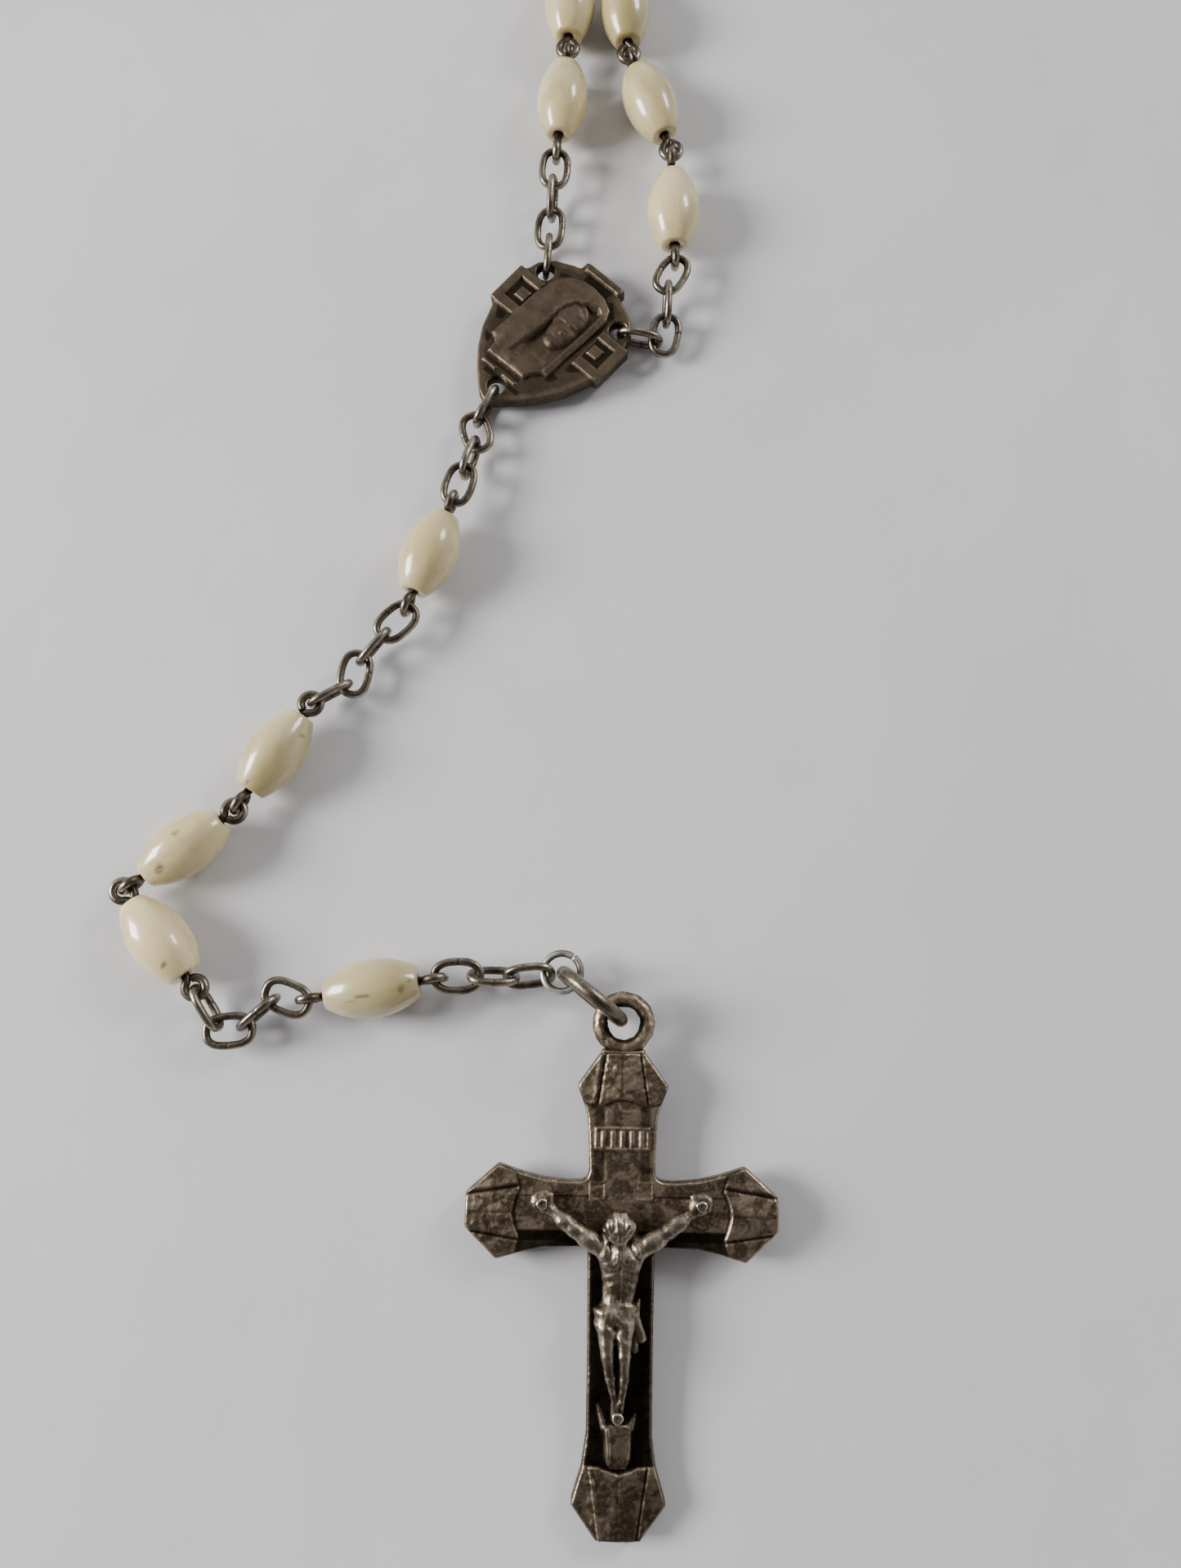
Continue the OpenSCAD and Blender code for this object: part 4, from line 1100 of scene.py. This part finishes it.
def medal_front(x, y):
    edge = inside_of(MEDAL_OUTLINE, x, y)
    stain = np.zeros(x.shape)
    z = np.full(x.shape, 1.2)
    # the ground is sunk behind a raised border
    ground = np.minimum(edge - 0.55, np.minimum(5.4 - y * 0.45, y + 8.2))
    z, stain = sunk(z, stain, 0.98, ground, 0.14, 0.35, -0.05, 0.3)
    # dark wedges between the rays along the lower border
    wedges = (
        [(-5.75, -1.45), (-4.35, -1.45), (-4.3, -2.2), (-4.9, -2.55)],
        [(-4.85, -4.0), (-3.85, -4.1), (-3.6, -4.7), (-4.0, -5.0)],
        [(3.6, -1.3), (5.1, -1.3), (4.4, -2.1), (3.7, -2.3)],
        [(3.15, -3.1), (3.95, -3.3), (3.5, -4.3), (2.9, -4.3)],
        [(2.45, 6.2), (3.7, 4.9), (3.45, 4.2), (2.9, 5.2), (1.9, 5.9)],
        [(-3.6, 5.3), (-2.3, 5.85), (-2.6, 5.3), (-3.4, 4.6)])
    for wedge in wedges:
        z, stain = sunk(z, stain, 0.78, inside_of(wedge, x, y), 0.12, 0.8, -0.08, 0.12)
    # top bar and the slot under it
    z, stain = sunk(z, stain, 0.78, box_of(-1.45, 1.7, 6.0, 6.9, x, y), 0.12, 0.85, -0.05, 0.12)
    bar = inside_of([
        (-1.9, 6.95), (2.25, 6.95), (2.55, 7.2), (2.55, 7.5), (2.25, 7.78), (-1.9, 7.78), (-2.1, 7.35)], x, y)
    z = level(z, 1.52, bar, 0.12)
    # square frames with a peg in each
    for u in (-x, x):
        block = box_of(3.72, 6.98, -1.26, 3.25, u, y)
        z = level(z, 1.46, block, 0.06)
        stain = cleared(stain, block)
        z, stain = sunk(z, stain, 0.92, box_of(3.86, 5.95, -0.14, 2.28, u, y), 0.09, 0.8, -0.02, 0.14)
        peg = box_of(4.0, 5.3, 0.42, 1.66, u, y)
        z = level(z, 1.44, peg, 0.07)
        stain = cleared(stain, peg)
    # steps below the bust
    steps = ((-6.02, -5.6, -3.05, 1.5, 1.05), (-6.62, -6.28, -2.85, -1.15, 1.40), (-6.62, -6.28, -0.35, 1.35, 1.36))
    for low, high, a, b, top in steps:
        z = level(z, top, box_of(a, b, low, high, x, y), 0.07)
    stain = np.maximum(stain, 0.75 * step_up(0, 0.12, box_of(-2.9, 1.4, -6.22, -5.82, x, y)))
    stain = np.maximum(stain, 0.8 * step_up(0, 0.15, box_of(-2.2, 2.2, -7.4, -6.72, x, y)))
    # the veil is a low pillow with long folds
    veil = inside_of(VEIL, x, y)
    pillow = 1.50 + 0.38 * (1 - np.exp(-np.clip(veil, 0, 9) / 0.9)) - 0.012 * np.clip(-y, -9, 9)
    fold = step_up(-0.4, -1.4, x + 0.12 * y)
    pillow = pillow + 0.035 * fold * np.sin(3.1 * (x + 0.10 * y) + 0.9 * np.sin(0.5 * y)) * step_up(5.5, 3.0, y)
    z = level(z, pillow, veil, 0.07)
    stain = cleared(stain, veil, 1.0, -0.04, 0.08)
    # opening of the veil: sunk, so that the head stands in it
    opening = inside_of([
        (-1.30, -4.35), (-1.05, -2.6), (-0.75, -0.9), (-0.62, 0.8), (-0.45, 2.3), (0.15, 3.45), (1.1, 4.1), (2.0, 4.45),
        (2.55, 4.1), (2.55, 1.6), (2.35, -1.6), (2.25, -3.9), (1.5, -4.6)], x, y)
    z = level(z, 1.24 + 0.20 * step_up(-1.4, -3.6, y), opening, 0.30)
    stain = np.maximum(stain, 0.32 * step_up(0.0, 0.6, opening) * step_up(-4.2, -2.0, y))
    hem = hill(opening + 0.22, 0.2) * step_up(-4.4, -3.4, y)
    z = z + 0.06 * hem * step_up(-0.02, 0.1, veil)
    # bust below the neck
    chest = inside_of([
        (-1.35, -3.1), (0.1, -2.75), (1.6, -3.0), (2.35, -3.5), (2.2, -4.6), (1.4, -5.4), (-1.6, -5.4)], x, y)
    z = level(z, np.maximum(z, 1.56 + 0.12 * hill(x - 0.5, 1.1)), chest, 0.4)
    neck = inside_of([(-0.25, -0.2), (1.15, -0.4), (1.45, -3.0), (-0.55, -3.0)], x, y)
    z = level(z, 1.46, neck, 0.3)

    # the head, a plain calm one, turned three quarters: skull, face and jaw as soft forms, drawn 1.2 times as large
    x, y = 1.0 + (x - 0.82) / 1.2, 0.9 + (y - 0.72) / 1.2

    def oval(cx, cy, rx, ry, lean=0.0):
        c, s = math.cos(math.radians(lean)), math.sin(math.radians(lean))
        u, v = (x - cx) * c + (y - cy) * s, (y - cy) * c - (x - cx) * s
        return 1 - np.sqrt((u / rx) ** 2 + (v / ry) ** 2)

    def spot(cx, cy, rx, ry):
        return np.exp(-(((x - cx) / rx) ** 2 + ((y - cy) / ry) ** 2))

    head = np.zeros(x.shape)
    forms = ((0.78, 2.05, 1.42, 1.75, 0, 0.62), (1.02, 0.85, 1.20, 1.90, 3, 0.60), (1.02, -0.35, 0.84, 0.78, 0, 0.52))
    for cx, cy, rx, ry, lean, rise in forms:
        dome = np.clip(oval(cx, cy, rx, ry, lean), 0, 1)
        head = np.maximum(head, rise * np.sqrt(1 - (1 - dome) ** 2))
    head = blur(head, 1.2)
    z = np.maximum(z, 1.22 + head)
    face = step_up(0.05, 0.25, head)
    stain = stain * (1 - 0.9 * face)
    hairline = step_up(2.25, 2.6, y - 0.35 * (x - 1.2) ** 2 + 0.9 * np.clip(0.6 - x, 0, 2) ** 2)
    hair = np.maximum(hairline, step_up(0.15, -0.1, x)) * face
    z = z + 0.05 * hair + 0.03 * hair * np.sin(8 * (y + 0.6 * x))
    for cx in (0.72, 1.62):
        z = z + 0.05 * spot(cx, 1.52, 0.38, 0.09) - 0.10 * spot(cx, 1.18, 0.34, 0.17)
        z = z + 0.065 * spot(cx, 1.12, 0.24, 0.09) - 0.03 * spot(cx, 1.04, 0.22, 0.035)
        stain = np.maximum(stain, 0.28 * spot(cx, 1.22, 0.32, 0.12))
    ridge = hill(x - 1.22, 0.13) * step_up(0.30, 0.50, y) * step_up(1.55, 1.2, y)
    z = z + 0.10 * ridge + 0.08 * spot(1.23, 0.42, 0.17, 0.11) - 0.04 * spot(1.22, 0.24, 0.2, 0.05)
    z = z + 0.05 * spot(1.20, -0.04, 0.26, 0.06) - 0.035 * spot(1.20, -0.12, 0.26, 0.035)
    z = z + 0.05 * spot(1.20, -0.22, 0.22, 0.07)
    z = z + 0.05 * spot(1.15, -0.72, 0.26, 0.2) + 0.03 * (spot(0.55, 0.45, 0.35, 0.4) + spot(1.75, 0.45, 0.25, 0.4))
    stain = np.maximum(stain, 0.22 * spot(1.20, -0.12, 0.26, 0.05))
    return z, np.clip(stain, 0, 1)


medal_shape = Shape()
plate(medal_shape, medal_outline, medal_front, ((-7.3, 7.3), (-10.0, 8.3)), 0.075, 0.0, 0.20, MEDAL_PLACE, 0.006, 51)
stand_in(medal_shape, "medal", MEDAL)


# ---- table, light ------------------------------------------------------------------------------
def paper():
    mat, tree, shader = material("paper", Roughness=0.75, IOR=1.4)
    g = Graph(tree)
    place = g.node("ShaderNodeTexCoord").outputs["Object"]
    cloud = g.noise(place, 22.0, detail=3.0, rough=0.5)
    fibre = g.noise(place, 420.0, (1, 0.35, 1), 3.0, 0.6)
    colour = g.mix(g.ramp(cloud, 0.3, 0.7), (0.60, 0.59, 0.605), (0.64, 0.635, 0.645))
    colour = g.mix(g.ramp(fibre, 0.4, 0.75, 0, 0.12), colour, (0.56, 0.55, 0.57))
    g.link(colour, shader.inputs["Base Color"])
    g.bump(cloud, 0.25, 0.004, shader)
    return mat


TABLE = 3        # metres from the middle to each side
corners = [(TABLE * a, TABLE * b, 0) for a, b in ((-1, -1), (1, -1), (1, 1), (-1, 1))]
floor_mesh = bpy.data.meshes.new("table")
floor_mesh.from_pydata(corners, [], [(0, 1, 2, 3)])
floor_mesh.materials.append(paper())
table = bpy.data.objects.new("table", floor_mesh)
bpy.context.scene.collection.objects.link(table)


LIT = (-0.055, -0.045, 0.0)        # the windows face this place on the table


def window(name, towards, distance, size, power, colour):
    data = bpy.data.lights.new(name, "AREA")
    data.shape, data.size, data.size_y = "RECTANGLE", size[0], size[1]
    data.energy, data.color = power, colour
    ob = bpy.data.objects.new(name, data)
    target = np.array(LIT)
    spot = target + unit(towards) * distance
    ob.location = spot
    z = unit(spot - target)
    x = unit(np.cross([0, 0, 1], z))
    y = np.cross(z, x)
    ob.rotation_euler = Matrix(np.column_stack([x, y, z]).tolist()).to_euler()
    bpy.context.scene.collection.objects.link(ob)


window("window_right", (0.664, 0.523, 0.536), 0.8, (0.22, 0.20), 2.5, (1.0, 0.985, 0.955))
window("window_left", (-0.87, 0.04, 0.47), 0.54, (0.22, 0.20), 5.0, (1.0, 0.99, 0.97))

world = bpy.data.worlds.new("room")
bpy.context.scene.world = world
world.use_nodes = True
wg = Graph(world.node_tree)
sky = wg.parts(wg.node("ShaderNodeTexCoord").outputs["Generated"])
background = world.node_tree.nodes["Background"]
over = wg.math("SUBTRACT", wg.math("MULTIPLY", sky[2], 0.88), wg.math("MULTIPLY", sky[1], 0.48))
shade = wg.ramp(over, 0.10, 0.98)
wg.link(wg.mix(shade, (0.80, 0.80, 0.83), (0.11, 0.10, 0.095)), background.inputs["Color"])
background.inputs["Strength"].default_value = 1.14
